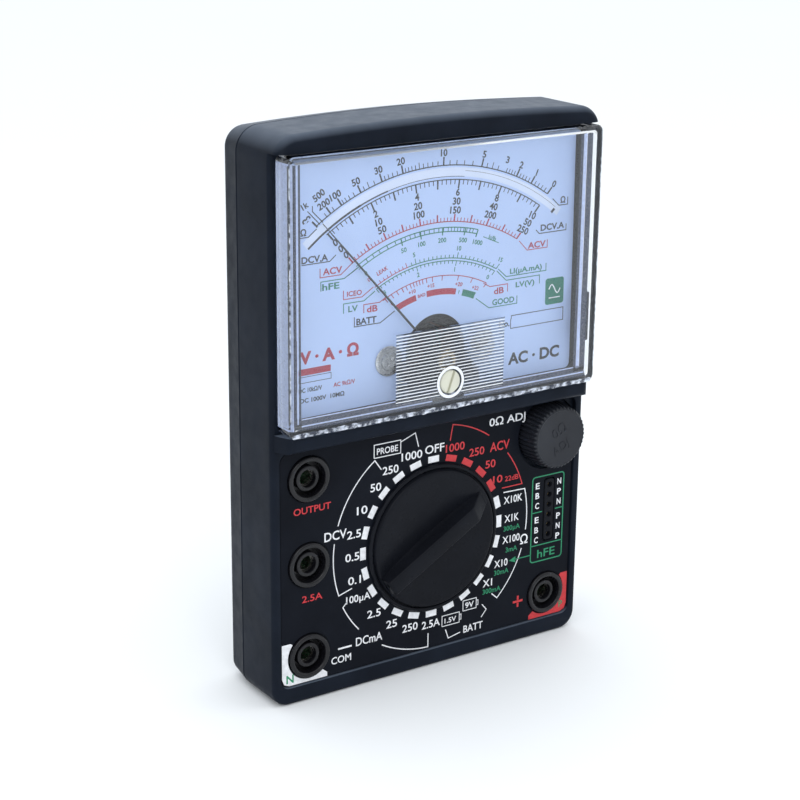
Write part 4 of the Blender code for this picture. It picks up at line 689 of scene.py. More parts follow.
def dial():
    plate = Shape()
    plate.prism(rounded(-44.4, 78.3, 44.4, HOOD_Z + 0.3, 1.5), DIAL_Y, 1.1)
    window = Shape()
    window.turned([(9.4, -0.5), (9.4, 2.0)], 0.0, PIVOT_Z + 2.1, 72)
    for side in (-1, 1):
        window.turned([(1.3, -0.5), (1.3, 2.0)], side * 14.9, PIVOT_Z + 1.2, 20)
    slot = Shape()
    slot.box(-12.0, -0.5, PIVOT_Z - 7.6, 12.0, 2.0, PIVOT_Z + 0.5)
    piece("dial_face", plate, M["dial"], "housing", ["dial_plate"],
          [("DIFFERENCE", window), ("DIFFERENCE", slot)])

    up = SELECTOR_Z
    band = Print(DIAL_Y, 0.02)
    band.line([on_arc(-0.085 + 1.17 * i / 60, 61.15) for i in range(61)], 2.3)
    piece("dial_mirror_band", band, M["mirror"])

    black = Print(DIAL_Y, 0.03, 1.75, 0.026)
    arc_between(black, -0.01, 1.0, 62.9, 0.16)
    arc_between(black, -0.005, 1.0, 59.2, 0.15)
    # The thick line along the mirror band's lower edge, tapering to the right, is painted shadow of the
    # band's edge.
    for share0, share1, width in ((-0.085, 0.16, 0.30), (0.16, 0.28, 0.20), (0.28, 0.62, 0.08)):
        arc_between(black, share0, share1, 60.0, width)
    arc_between(black, 0.62, 1.06, 61.5, 0.05)
    black.line([on_arc(1.062, 59.6), on_arc(1.062, 61.0)], 0.42)

    def ohm_share(ohms):
        return 11.0 / (11.0 + ohms)

    small = [0.2 * i for i in range(0, 15)] + [3.5, 4, 4.5, 5, 6, 7, 8, 9, 10] + [11 + i for i in range(10)]
    small += [22, 24, 26, 28, 30, 35, 40, 45, 50, 60, 70, 80, 90, 100, 150, 200, 300, 500, 1000]
    strong = {0, 1, 2, 3, 5, 10, 20, 30, 50, 100, 200, 500, 1000}
    for ohms in small:
        value = round(ohms, 3)
        whole = value in strong
        if value in (500, 1000):
            continue
        tick(black, ohm_share(value), 62.9, 65.1 if whole else (64.6 if value in (4, 15, 40) else 64.1),
             0.25 if whole else 0.12)
    black.line([(-35.7, up + 88.9), (-37.2, up + 90.4)], 0.27)
    black.line([(-35.0, up + 89.5), (-38.5, up + 93.1)], 0.14)
    black.line([(-34.1, up + 89.9), (-37.1, up + 92.9), (-37.1, up + 94.3)], 0.14)
    for ohms, words in ((0, "0"), (1, "1"), (2, "2"), (3, "3"), (5, "5"), (10, "10"), (20, "20"),
                        (30, "30"), (50, "50"), (100, "100"), (200, "200")):
        point = on_arc(ohm_share(ohms), 66.2)
        black.text(words, *point, 1.8, tilt(point) * 0.85)
    black.text("500", -35.3, up + 96.8, 1.8, -33)
    black.text("1k", -39.3, up + 94.6, 1.6, -30)
    black.text("∞", -38.9, up + 91.1, 2.2, -36)

    for i in range(51):
        share = i / 50
        length = 2.3 if i % 5 == 0 else 1.25
        tick(black, share, 59.2, 59.2 - length, 0.25 if i % 5 == 0 else 0.13)
    for i in range(6):
        for radius, value in ((56.0, 2 * i), (53.7, 10 * i), (51.4, 50 * i)):
            point = on_arc(i / 5, radius)
            black.text(str(value), *point, 1.85, tilt(point) * 0.8)

    black.line([(-40.7, up + 86.7), (-38.3, up + 86.7), (-35.9, up + 88.5)], 0.14)
    black.text("Ω", -39.7, up + 88.0, 1.7)
    label(black, "DCV.A", -36.5, 81.1, 1.7, 7.6, (-40.3, 79.9), (-32.2, 79.9), (-30.4, 81.3))
    label(black, "BATT", -21.4, 63.3, 1.7, 6.0, (-25.0, 64.6), (-25.0, 62.1), (-17.3, 62.1), (-12.9, 64.6))
    label(black, "Ω", 40.6, 87.6, 1.7, None, (37.1, 88.2), (39.2, 86.2), (42.2, 86.2), (42.2, 88.2))
    label(black, "DCV.A", 37.3, 80.8, 1.7, 7.9, (31.8, 80.4), (32.9, 79.3), (41.9, 79.3), (41.9, 81.0))
    black.text("No.", 22.2, up + 56.2, 1.7)
    black.line([(24.3, up + 54.6), (41.7, up + 54.6), (41.7, up + 58.1), (24.3, up + 58.1),
                (24.3, up + 54.6)], 0.12)
    black.text("AC · DC", 32.3, up + 46.2, 3.2, width=17.0, bold=0.035)
    black.line([(-41.3, up + 49.9), (-31.9, up + 49.9), (-31.9, up + 51.4), (-41.3, up + 51.4),
                (-41.3, up + 49.9)], 0.09)
    black.text("DC 10kΩ/V", -38.0, up + 48.0, 1.15, width=6.8)
    black.text("DC 1000V  10MΩ", -34.5, up + 45.3, 1.15, width=13.0)
    piece("dial_print_black", black, M["black"])

    red = Print(DIAL_Y, 0.03, 1.6, 0.022)
    arc_between(red, -0.01, 1.0, 48.4, 0.16)
    for i in range(51):
        tick(red, i / 50, 48.4, 48.4 + (1.9 if i % 5 == 0 else 1.05), 0.26 if i % 5 == 0 else 0.13)
    label(red, "ACV", -31.4, 77.5, 1.7, 5.6, (-35.0, 78.4), (-35.0, 76.1), (-29.0, 76.1), (-25.6, 78.7))
    label(red, "ACV", 32.2, 76.5, 1.7, 5.9, (26.3, 78.1), (29.0, 75.3), (35.7, 75.3), (35.7, 77.4))
    arc_between(red, 0.0, 0.27, 38.9, 0.14, 16)
    for i in range(9):
        tick(red, 0.02 + 0.03 * i, 38.9, 40.2 if i % 4 == 0 else 39.7, 0.12)
    label(red, "ICEO", -25.0, 70.9, 1.3, 4.4, (-28.2, 71.9), (-28.2, 69.6), (-22.8, 69.6), (-19.4, 71.7))
    red.text("LEAK", -16.7, up + 75.6, 1.1, -24)
    red.text("0", -20.7, up + 73.8, 1.1, -30)
    arc_between(red, -0.02, 1.0, 34.4, 0.14)
    for share in (0.0, 0.06, 0.11, 0.16, 0.2, 0.24, 0.27, 0.3, 0.33, 0.36, 0.4, 0.46, 0.56, 0.72, 0.86, 1.0):
        tick(red, share, 34.4, 33.1, 0.14)
    for words, share in (("0", 0.02), ("+10", 0.235), ("+15", 0.44), ("+20", 0.75), ("+22", 0.93)):
        point = on_arc(share, 32.2)
        red.text(words, *point, 1.05, tilt(point) * 0.8)
    label(red, "dB", -19.7, 66.2, 1.7, 3.2, (-22.2, 65.3), (-22.2, 67.5), (-17.4, 67.5), (-15.6, 68.6))
    label(red, "dB", 20.0, 65.6, 1.7, 3.2, (14.9, 68.2), (17.0, 67.0), (22.8, 67.0), (22.8, 64.9))
    for x0, x1 in ((-12.3, -6.3), (-3.0, 6.2)):
        angles = [math.degrees(math.asin(x / 30.2)) for x in (x0, x1)]
        red.curve(0.0, ARC_Z, 30.2, angles[0], angles[1], 1.0, 12)
    red.text("BAD", -4.6, up + 67.6, 0.9, -8)
    red.text("V · A · Ω", -32.4, up + 56.4, 3.1, width=17.4, bold=0.045)
    red.fill(rounded(-41.4, up + 51.8, -32.0, up + 53.5, 0.15, 2))
    red.text("AC 9kΩ/V", -28.0, up + 48.0, 1.15, width=6.4)
    piece("dial_print_red", red, M["red"])

    green = Print(DIAL_Y, 0.03, 1.7, 0.022)
    arc_between(green, 0.0, 0.76, 46.9, 0.15)
    arc_between(green, 0.0, 0.76, 45.8, 0.15)
    green.line([(-28.0, up + 75.0), on_arc(0.0, 46.4)], 0.14)
    for i, share in enumerate((0.06, 0.1, 0.14, 0.19, 0.24, 0.3, 0.33, 0.36, 0.39, 0.42, 0.45, 0.48,
                               0.51, 0.54, 0.57, 0.59, 0.61, 0.63, 0.65, 0.67, 0.69, 0.71, 0.73)):
        tick(green, share, 46.9, 45.8, 0.13)
    for words, share in (("0", 0.015), ("50", 0.275), ("100", 0.395), ("200", 0.535), ("500", 0.68),
                         ("1000", 0.785)):
        tick(green, min(share, 0.76), 46.9, 44.9, 0.2)
        point = on_arc(share, 43.7)
        green.text(words, *point, 1.25, tilt(point) * 0.8)
    green.text("Ic/Ib", 17.6, up + 80.0, 1.1, 22)
    green.line([(14.6, up + 80.6), (19.6, up + 78.4)], 0.12)
    label(green, "hFE", -31.9, 73.6, 1.7, 5.0, (-34.8, 72.6), (-34.8, 75.0), (-28.0, 75.0), (-23.4, 77.6))
    arc_between(green, 0.27, 1.0, 38.9, 0.14)
    arc_between(green, 0.0, 1.0, 38.2, 0.14)
    for i in range(31):
        share = i / 30
        if share > 0.28:
            tick(green, share, 38.9, 40.4 if i % 10 == 0 else 39.75, 0.13)
        tick(green, share, 38.2, 36.9 if i % 10 == 0 else 37.4, 0.13)
    for words, share, radius in (("5", 0.333, 41.5), ("10", 0.666, 41.5), ("15", 0.99, 41.6),
                                 ("3", 0.03, 36.0), ("2", 0.333, 36.0), ("1", 0.666, 36.0),
                                 ("0", 0.98, 36.0)):
        point = on_arc(share, radius)
        green.text(words, *point, 1.2, tilt(point) * 0.8)
    label(green, "LI(µA.mA)", 28.8, 70.3, 1.45, 10.6,
          (19.6, 71.4), (22.3, 69.0), (35.5, 69.0), (35.5, 71.0))
    label(green, "LV(V)", 28.6, 66.4, 1.45, 6.2, (19.2, 70.9), (22.3, 68.0), (33.4, 68.0), (33.4, 65.7))
    label(green, "LV", -25.4, 67.0, 1.6, 2.8, (-28.2, 66.0), (-28.2, 68.5), (-22.2, 68.5), (-18.9, 70.6))
    angles = [math.degrees(math.asin(x / 30.2)) for x in (8.3, 12.2)]
    green.curve(0.0, ARC_Z, 30.2, angles[0], angles[1], 1.0, 6)
    green.text("?", 7.2, up + 66.9, 1.0, 10)
    label(green, "GOOD", 21.5, 62.6, 1.6, 7.2, (12.7, 64.4), (17.0, 61.3), (26.0, 61.3), (26.0, 63.4))
    green.fill(rounded(35.5, up + 59.4, 41.7, up + 66.6, 0.7, 4))
    piece("dial_print_green", green, M["green"])

    white = Print(DIAL_Y - 0.03, 0.02)
    wave = [(36.7 + 3.8 * i / 24, up + 63.6 + 1.2 * math.sin(math.tau * i / 24)) for i in range(25)]
    white.line(wave, 0.35)
    white.line([(36.7, up + 61.2), (40.5, up + 61.2)], 0.3)
    piece("dial_print_white", white, M["white"])


def panel_print():
    up = SELECTOR_Z
    white = Print(0.0)
    red = Print(0.0)
    green = Print(0.0)

    def mark(ink_print, degrees):
        x0, z0 = turned_point(0.0, SELECTOR_Z, degrees, 21.3)
        x1, z1 = turned_point(0.0, SELECTOR_Z, degrees, 23.1)
        ink_print.line([(x0, z0), (x1, z1)], 3.5)

    for i in range(24):
        mark(red if 1 <= i <= 4 else white, 15.0 * i)

    for words, x, z, height, width in (
            ("OFF", 0.3, 25.2, 2.4, 6.2), ("1000", -7.0, 24.6, 2.3, 6.6), ("250", -13.7, 21.9, 2.3, 5.0),
            ("50", -18.3, 17.9, 2.3, 3.4), ("10", -22.5, 12.4, 2.3, 3.3), ("2.5", -25.0, 6.2, 2.3, 4.3),
            ("0.5", -25.5, -0.1, 2.3, 4.4), ("0.1", -24.8, -6.8, 2.3, 4.0),
            ("100µA", -23.6, -12.1, 2.1, 7.6), ("2.5", -18.6, -17.7, 2.3, 4.3),
            ("25", -12.9, -22.1, 2.3, 3.5), ("250", -6.9, -24.6, 2.3, 5.0), ("2.5A", 0.0, -25.2, 2.3, 6.0),
            ("X10K", 27.0, 5.7, 2.2, 6.4), ("X1K", 26.7, 0.2, 2.2, 4.9), ("X100", 26.7, -6.0, 2.2, 6.0),
            ("X10", 23.4, -12.6, 2.2, 4.6), ("X1", 18.9, -17.5, 2.2, 3.2), ("Ω", 31.2, -7.1, 2.8, None),
            ("DCV", -30.7, 7.1, 2.6, 6.8), ("DCmA", -20.1, -24.7, 2.5, 8.4), ("BATT", 14.3, -29.6, 2.2, 6.6),
            ("PROBE", -14.75, 27.6, 1.8, 6.6), ("0Ω ADJ", 24.3, 29.2, 2.3, 12.2),
            ("COM", -28.9, -28.4, 2.1, 6.2), ("1.5V", 6.5, -25.6, 1.5, 3.9), ("9V", 12.9, -22.6, 1.7, 2.9)):
        white.text(words, x, up + z, height, width=width, bold=0.012)

    white.line([(-29.9, up - 25.4), (-25.6, up - 25.4)], 0.5)
    for x0, x1, z0, z1 in ((3.7, 9.5, -27.1, -24.0), (10.7, 15.2, -24.1, -21.1)):
        white.line([(x0, up + z0), (x1, up + z0), (x1, up + z1), (x0, up + z1), (x0, up + z0)], 0.22)
        white.line([(x1, up + z0 + 0.8), (x1 + 0.6, up + z0 + 0.8), (x1 + 0.6, up + z1 - 0.8),
                    (x1, up + z1 - 0.8)], 0.22)
    white.line([(-18.9, up + 25.9), (-10.6, up + 25.9), (-10.6, up + 29.5), (-18.9, up + 29.5),
                (-18.9, up + 25.9)], 0.25)
    white.line([(-10.6, up + 28.9), (-6.0, up + 30.6), (-4.9, up + 26.6)], 0.28)

    def sweep(ink_print, points_before, r, a0, a1, points_after, width=0.3):
        steps = max(3, int(abs(a1 - a0) / 3))
        path = [turned_point(0.0, SELECTOR_Z, a0 + (a1 - a0) * i / steps, r) for i in range(steps + 1)]
        ink_print.line([(x, up + z) for x, z in points_before] + path
                       + [(x, up + z) for x, z in points_after], width)

    def bearing(x, z):
        return math.degrees(math.atan2(x, z))

    sweep(red, [(5.3, 26.4)], 31.4, bearing(6.1, 30.8), bearing(18.2, 25.6), [])
    sweep(red, [], 31.4, bearing(24.6, 19.5), bearing(29.9, 9.5), [(23.0, 9.5)])
    sweep(white, [(23.6, 8.1)], 31.9, bearing(31.0, 7.9), bearing(31.6, -4.4), [])
    sweep(white, [], 31.9, bearing(30.4, -9.7), bearing(22.3, -22.8), [(20.4, -21.1)])
    sweep(white, [(-16.6, 22.4)], 31.4, bearing(-18.7, 25.3), bearing(-30.0, 9.4), [])
    sweep(white, [], 31.4, bearing(-31.0, 4.6), bearing(-29.7, -10.2), [(-25.6, -9.0)])
    sweep(white, [(-27.2, -12.6)], 31.6, bearing(-28.3, -13.8), bearing(-23.4, -21.2), [])
    sweep(white, [], 31.9, bearing(-16.0, -27.5), bearing(-0.9, -31.9), [(-0.9, -27.9)])
    white.line([(4.9, up - 28.2), (5.9, up - 31.0), (9.9, up - 30.2)], 0.28)
    white.line([(17.2, up - 23.6), (18.7, up - 25.4), (17.0, up - 27.4)], 0.28)

    for words, x, z, height, width in (
            ("1000", 7.0, 24.4, 2.3, 6.2), ("250", 14.2, 21.8, 2.3, 5.0), ("50", 18.9, 17.4, 2.3, 3.4),
            ("10", 21.5, 12.5, 2.2, 3.2), ("22dB", 26.3, 12.0, 1.5, 4.6), ("ACV", 21.9, 22.1, 2.7, 6.6),
            ("OUTPUT", -37.7, 15.8, 1.9, 11.2), ("2.5A", -37.8, -8.7, 1.9, 6.2)):
        red.text(words, x, up + z, height, width=width, bold=0.012)
    red.line([(28.0, up - 25.6), (31.4, up - 25.6)], 0.65)
    red.line([(29.7, up - 27.3), (29.7, up - 26.0)], 0.65)
    red.line([(29.7, up - 25.2), (29.7, up - 23.9)], 0.65)

    for words, x, z, height, width in (
            ("300µA", 26.8, -2.7, 1.5, 5.6), ("3mA", 26.9, -9.1, 1.5, 4.0),
            ("30mA", 23.6, -15.2, 1.5, 5.0), ("300mA", 20.4, -20.0, 1.5, 6.2),
            ("hFE", 39.2, -12.7, 2.5, 6.2)):
        green.text(words, x, up + z, height, width=width, bold=0.01)
    box = [(x, up + z) for x, z in rounded(33.7, -15.0, 44.7, 10.3, 0.9, 4)]
    green.line(box + [box[0]], 0.35)
    green.line([(33.7, up - 10.1), (44.7, up - 10.1)], 0.3)
    green.line([(33.7, up - 0.2), (37.3, up - 0.2)], 0.3)
    green.line([(41.9, up - 0.2), (44.7, up - 0.2)], 0.3)
    green.line([(33.7, up - 12.6), (28.0, up - 12.6)], 0.3)
    green.fill([(28.4, up - 13.5), (28.4, up - 11.7), (26.2, up - 12.6)])
    for words, x, z in (("E", 35.5, 7.7), ("B", 35.5, 4.8), ("C", 35.5, 1.8), ("E", 35.5, -2.4),
                        ("B", 35.5, -5.4), ("C", 35.5, -8.4), ("N", 43.1, 7.8), ("P", 43.1, 4.8),
                        ("N", 43.1, 1.8), ("P", 43.1, -2.5), ("N", 43.1, -5.5), ("P", 43.1, -8.5)):
        white.text(words, x, up + z, 1.8, width=1.35, bold=0.02)

    def patch(ink_print, x, side):
        """The colour field in a lower corner, stopped short of the jack's collar."""
        jack_x, jack_z = JACKS["com"] if side < 0 else JACKS["positive"]
        outer = side * 47.1
        rim = [turned_point(jack_x, jack_z, side * a, 6.5) for a in range(51, 220, 7)]
        start = [(outer, up - 20.3), (jack_x + side * 5.6, up - 20.3)]
        end = [(jack_x - side * 5.5, up - 31.0), (jack_x - side * 5.5, 5.3), (outer - side * 2.2, 5.3),
               (outer - side * 0.65, 5.95), (outer, 7.5)]
        outline = start + [p for p in rim] + end
        ink_print.fill(outline if side > 0 else list(reversed(outline)))

    patch(white, -1, -1)
    patch(red, 1, 1)
    piece("panel_print_white", white, M["white"])
    piece("panel_print_red", red, M["panel_red"])
    letters = Print(-0.02)
    letters.text("N", -44.7, up - 30.2, 2.4, bold=0.02)
    letters.text("P", 45.1, up - 29.8, 2.0, bold=0.02)
    piece("panel_print_green", green, M["panel_green"])
    piece("panel_corner_letters", letters, M["panel_green"])


# ---------------------------------------------------------------- moving and fitted pieces

def selector():
    disc = Shape()
    profile = [(9.0, 2.5), (9.0, -0.3), (20.55, -0.3), (20.8, -0.5), (20.8, -0.85), (20.65, -1.1),
               (20.4, -1.2), (20.05, -1.2), (19.85, -1.1), (19.75, -0.9), (19.7, -0.45), (19.5, -0.45),
               (19.4, -0.9), (19.15, -1.6), (18.95, -1.82), (18.7, -1.9), (17.9, -1.88), (16.5, -1.76),
               (14.0, -1.5), (11.0, -1.22), (8.0, -1.02), (5.0, -0.93), (2.0, -0.9)]
    disc.turned(profile, 0.0, SELECTOR_Z, 96)
    grip = Shape()
    side_view = [(-19.0, -0.5), (-19.0, -5.1), (-18.85, -5.5), (-18.5, -5.75), (-18.1, -5.8),
                 (11.6, -5.8), (12.1, -5.72), (12.5, -5.5), (18.4, -1.6), (18.6, -1.3), (18.6, -0.5)]
    rings = []
    for x, squeeze in ((-2.35, 0.5), (-2.28, 0.25), (-2.1, 0.08), (-1.85, 0.0), (1.85, 0.0),
                       (2.1, 0.08), (2.28, 0.25), (2.35, 0.5)):
        ring = []
        for s, y in side_view:
            lowered = y + squeeze * 0.8 if y < -1.4 else y
            ring.append((x, lowered, SELECTOR_Z + s))
        rings.append(ring)
    grip.loft(rings)
    foot = Shape()
    foot.outlines([(rounded(-2.9, SELECTOR_Z - 18.4, 2.9, SELECTOR_Z + 18.0, 1.0, 4), -0.6),
                   (rounded(-2.6, SELECTOR_Z - 18.2, 2.6, SELECTOR_Z + 17.8, 1.0, 4), -1.3),
                   (rounded(-2.2, SELECTOR_Z - 18.0, 2.2, SELECTOR_Z + 17.6, 1.0, 4), -2.4)])
    bore = Shape()
    bore.turned([(1.5, -0.7), (1.5, 4.0)], 0.0, SELECTOR_Z, 24)
    disc_item = piece("selector_dial", disc, M["knob"], "selector", ["selector_knob"],
                      [("UNION", grip.turn(0.0, SELECTOR_Z, KNOB_TURN)),
                       ("UNION", foot.turn(0.0, SELECTOR_Z, KNOB_TURN)), ("DIFFERENCE", bore)],
                      angle=38)
    return disc_item


def ohm_knob():
    teeth = 44
    x0, z0 = ADJ
    rings = []
    for r, depth, y in ((9.0, 0.5, 1.6), (9.2, 0.5, 1.3), (9.2, 0.5, -1.0), (9.0, 0.5, -3.0),
                        (8.75, 0.46, -4.9), (8.45, 0.3, -5.25), (8.1, 0.04, -5.48), (7.9, 0.0, -5.5),
                        (7.75, 0.0, -5.38), (7.6, 0.0, -5.36)):
        ring = []
        for i in range(teeth * 6):
            phase = i % 6
            dip = depth * (0.0, 0.0, 0.1, 0.85, 1.0, 0.35)[phase]
            x, z = turned_point(x0, z0, 360.0 * i / (teeth * 6), r - dip)
            ring.append((x, y, z))
        rings.append(ring)
    knob = Shape()
    knob.loft(rings)
    bore = Shape()
    bore.turned([(2.3, -4.0), (2.3, 3.0)], x0, z0, 32)
    piece("ohm_knob", knob, M["adjust"], "ohm_adjuster", ["ohm_adjust_knob"], [("DIFFERENCE", bore)],
          angle=30)
    marks = Print(-5.36, 0.12)
    marks.text("0Ω", x0 - 0.4, z0 + 2.3, 3.0, -28, bold=-0.01)
    marks.text("ADJ", x0 + 0.3, z0 - 2.6, 2.6, -28, bold=-0.01)
    piece("ohm_knob_lettering", marks, M["adjust"], "ohm_adjuster")


def jacks():
    for name, (x, z) in JACKS.items():
        sleeve = Shape()
        sleeve.turned([(5.3, 9.0), (5.3, 0.5), (6.1, 0.5), (6.1, -0.35), (6.02, -0.6), (5.85, -0.74),
                       (5.6, -0.8), (5.15, -0.8), (4.92, -0.72), (4.78, -0.55), (4.7, -0.3), (4.7, 3.0),
                       (3.4, 3.0), (3.4, 0.55), (3.32, 0.38), (3.15, 0.3), (2.55, 0.3), (2.38, 0.38),
                       (2.3, 0.55), (2.3, 2.0), (2.85, 2.0), (2.85, 9.0)], x, z, 64, closed=True)
        piece("jack_" + name, sleeve, M["jack"], "housing", ["jack_sleeve_" + name], angle=34)


def socket():
    body = Shape()
    wall = rounded(37.95, 28.5, 41.25, 46.7, 1.0)
    body.outlines([(wall, 6.0), (wall, 0.0),
                   (rounded(38.1, 28.65, 41.1, 46.55, 0.9), -0.2)])
    holes = Shape()
    pins = Shape()
    for i in range(6):
        z = 37.6 + 2.95 * (i - 2.5)
        holes.turned([(0.95, -0.5), (0.62, 0.25), (0.55, 0.6), (0.55, 7.0)], 39.6, z, 24)
        pins.turned([(0.50, 0.9), (0.50, 5.5), (0.3, 5.5), (0.3, 0.9)], 39.6, z, 16, closed=True)
    piece("transistor_socket_body", body, M["knob"], "housing", ["transistor_socket"],
          [("DIFFERENCE", holes)])
    piece("transistor_socket_contacts", pins, M["brass"])


def zero_screw():
    head = Shape()
    z = ZERO_Z
    head.turned([(3.15, -5.2), (3.15, -6.5), (3.08, -6.8), (2.9, -7.05), (2.6, -7.17), (2.2, -7.2)],
                0.0, z, 48)
    pin = Shape()
    pin.turned([(0.45, -5.6), (0.45, -4.3)], 0.0, z - 1.2, 16)
    slot = Shape()
    slot.box(-0.42, -9.0, z - 5.0, 0.42, -6.35, z + 5.0)
    piece("zero_screw_head", head, M["cream"], "zero_screw", ["zero_adjust_screw"],
          [("UNION", pin), ("DIFFERENCE", slot.turn(0.0, z, 20.0))])


def screws():
    for name, x in (("left", -14.9), ("right", 14.9)):
        z = PIVOT_Z + 1.2
        head = Shape()
        head.turned([(0.4, 4.2), (1.0, 3.4), (1.0, 0.3), (3.85, 0.3), (4.0, 0.18), (4.0, 0.05),
                     (3.85, -0.05), (2.5, -0.12), (2.4, -0.3), (2.35, -0.5), (2.0, -0.65), (1.4, -0.7)],
                    x, z, 48)
        cross = Shape()
        cross.box(x - 1.5, -2.0, z - 0.22, x + 1.5, -0.4, z + 0.22)
        cross_b = Shape()
        cross_b.box(x - 0.22, -2.0, z - 1.5, x + 0.22, -0.4, z + 1.5)
        piece("dial_washer_screw_" + name, head, M["steel"], "housing", ["dial_screw_" + name],
              [("DIFFERENCE", cross.turn(x, z, 30.0)), ("DIFFERENCE", cross_b.turn(x, z, 30.0))])


def pointer():
    blade = Shape()
    rings = []
    for reach, half, thick in ((0.9, 0.36, 0.2), (10.0, 0.33, 0.2), (44.0, 0.24, 0.17),
                               (49.0, 0.14, 0.17), (53.5, 0.09, 0.15)):
        z = PIVOT_Z + reach
        rings.append([(-half, -2.0 + thick, z), (-half * 0.5, -2.0 - thick, z), (half * 0.5, -2.0 - thick, z),
                      (half, -2.0 + thick, z)])
    blade.loft(rings)
    eye = Shape()
    eye.turned([(0.6, -2.2), (1.5, -2.2), (1.5, -1.8), (0.6, -1.8)], 0.0, PIVOT_Z, 32, closed=True)
    piece("needle_blade", blade.turn(0.0, PIVOT_Z, -42.0), M["needle"], "needle", ["pointer"],
          [("UNION", eye)])


def wiring():
    """A loose green lead seen through the window in the dial."""
    for name, points, material in (("lead_green", [(1.2, 0.7, 92.5), (1.9, 0.6, 90.0), (1.3, 0.6, 86.6),
                                                   (1.8, 0.7, 83.0)], "green"),):
        curve = bpy.data.curves.new(name, "CURVE")
        curve.dimensions = "3D"
        curve.bevel_depth = 0.28 * MM
        curve.bevel_resolution = 3
        curve.use_fill_caps = True
        spline = curve.splines.new("NURBS")
        spline.points.add(len(points) - 1)
        for target, (x, y, z) in zip(spline.points, points):
            target.co = (*place(x, y, z), 1.0)
        spline.use_endpoint_u = True
        item = bpy.data.objects.new(name, curve)
        bpy.context.scene.collection.objects.link(item)
        curve.materials.append(M[material])
        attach(item, "housing")


def cover_edges():
    """Painted reflections along the cover's edges: light and dark lines laid on the cover, standing in for
    what its moulded walls reflect and refract.
    """
    roof = COVER_FRONT + 1.55
    pale = Print(roof, 0.02)
    navy = Print(roof, 0.02)
    for side, strips in ((pale, ((-45.6, -45.2), (42.2, 43.3))),
                         (navy, ((-46.4, -45.7), (-45.1, -44.5), (41.3, 42.1), (43.4, 45.2)))):
        for x0, x1 in strips:
            side.fill(rounded(x0, 78.9, x1, 143.6, 0.1, 2))
    for side, strips in ((pale, ((78.1, 78.45), (79.9, 80.2))), (navy, ((77.3, 78.0), (78.5, 79.8)))):
        for z0, z1 in strips:
            side.fill(rounded(-44.4, z0, -5.0, z1, 0.1, 2))
            side.fill(rounded(5.0, z0, 45.0, z1, 0.1, 2))
    piece("cover_edge_painted_light_lines", pale, M["edge_pale"])
    piece("cover_edge_painted_dark_lines", navy, M["edge_navy"])
    # A pale strip along the left wall: painted sheen.
    wall = Shape()
    wall.prism(rounded(-46.66, 77.2, -46.5, 143.8, 0.05, 2), COVER_FRONT + 1.7, 4.0)
    piece("cover_left_wall_painted_sheen", wall, M["edge_pale"])


def film_bead():
    """The crinkled edge of the protective film along the cover's lower and side edges."""
    random.seed(7)
    x0, z0, x1, z1 = COVER
    rails = [("lower", [(x0 + 0.8 + (x1 - x0 - 1.6) * i / 120, z0 + 0.5) for i in range(121)]),
             ("right", [(x1 - 0.45, z0 + 4 + (z1 - z0 - 5) * i / 80) for i in range(81)]),
             ("left", [(x0 + 0.45, z0 + 4 + (z1 - z0 - 5) * i / 80) for i in range(81)])]
    for name, path in rails:
        size = 0.75 if name == "lower" else 0.35
        bead = Shape()
        rings = []
        for i, (x, z) in enumerate(path):
            swell = size * (0.65 + 0.55 * random.random())
            ring = []
            for k in range(8):
                a = math.tau * k / 8
                r = swell * (0.8 + 0.4 * random.random())
                y = COVER_FRONT + 0.55 + 0.55 * r * math.cos(a)
                if name == "lower":
                    ring.append((x, max(y, -7.15), z + r * math.sin(a)))
                else:
                    ring.append((x + 0.5 * r * math.sin(a), max(y, -7.15), z))
            rings.append(ring)
        bead.loft(rings)
        item = piece("film_edge_" + name, bead, M["film"], angle=60)
        smooth = item.modifiers.new("smooth", "SUBSURF")
        smooth.levels = 1
        smooth.render_levels = 1


def finish_cad_nodes():
    """Materials for the inner CAD pieces that stay as they are."""
    looks = {
        "steel": ("rear_case_screw_top", "rear_case_screw_bottom", "movement_screw_left",
                  "movement_screw_right", "front_pivot", "rear_pivot", "selector_screw",
                  "detent_ball", "board_screw_upper", "board_screw_lower"),
        "blackened": ("yoke_ring", "core_holder", "front_bridge", "balance_cross", "coil_former"),
        "brass": ("front_hairspring", "rear_hairspring", "rear_bridge", "zero_adjust_arm",
                  "wiper_contact", "fuse_clip_left", "fuse_clip_right"),
        "nickel": ("front_jewel_screw", "rear_jewel_screw", "potentiometer_body", "detent_spring",
                   "cell_link_plate", "cell_terminal_plate", "jack_contact_output", "jack_contact_amp",
                   "jack_contact_com", "jack_contact_positive"),
        "aluminium": ("potentiometer_shaft",),
        "copper": ("coil_winding",), "magnet": ("core_magnet",), "cream": ("switch_rotor",),
        "board": ("circuit_board",), "cell": ("aa_cell_upper", "aa_cell_lower"),
        "block": ("nine_volt_battery",), "dark": ("movement_frame", "battery_tray", "nine_volt_snap"),
        "clear": ("fuse",),
    }
    for look, names in looks.items():
        for name in names:
            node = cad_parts[name]
            if not node.material_slots:
                node.data.materials.append(M[look])
            for material_slot in node.material_slots:
                material_slot.material = M[look]


# ---------------------------------------------------------------- studio

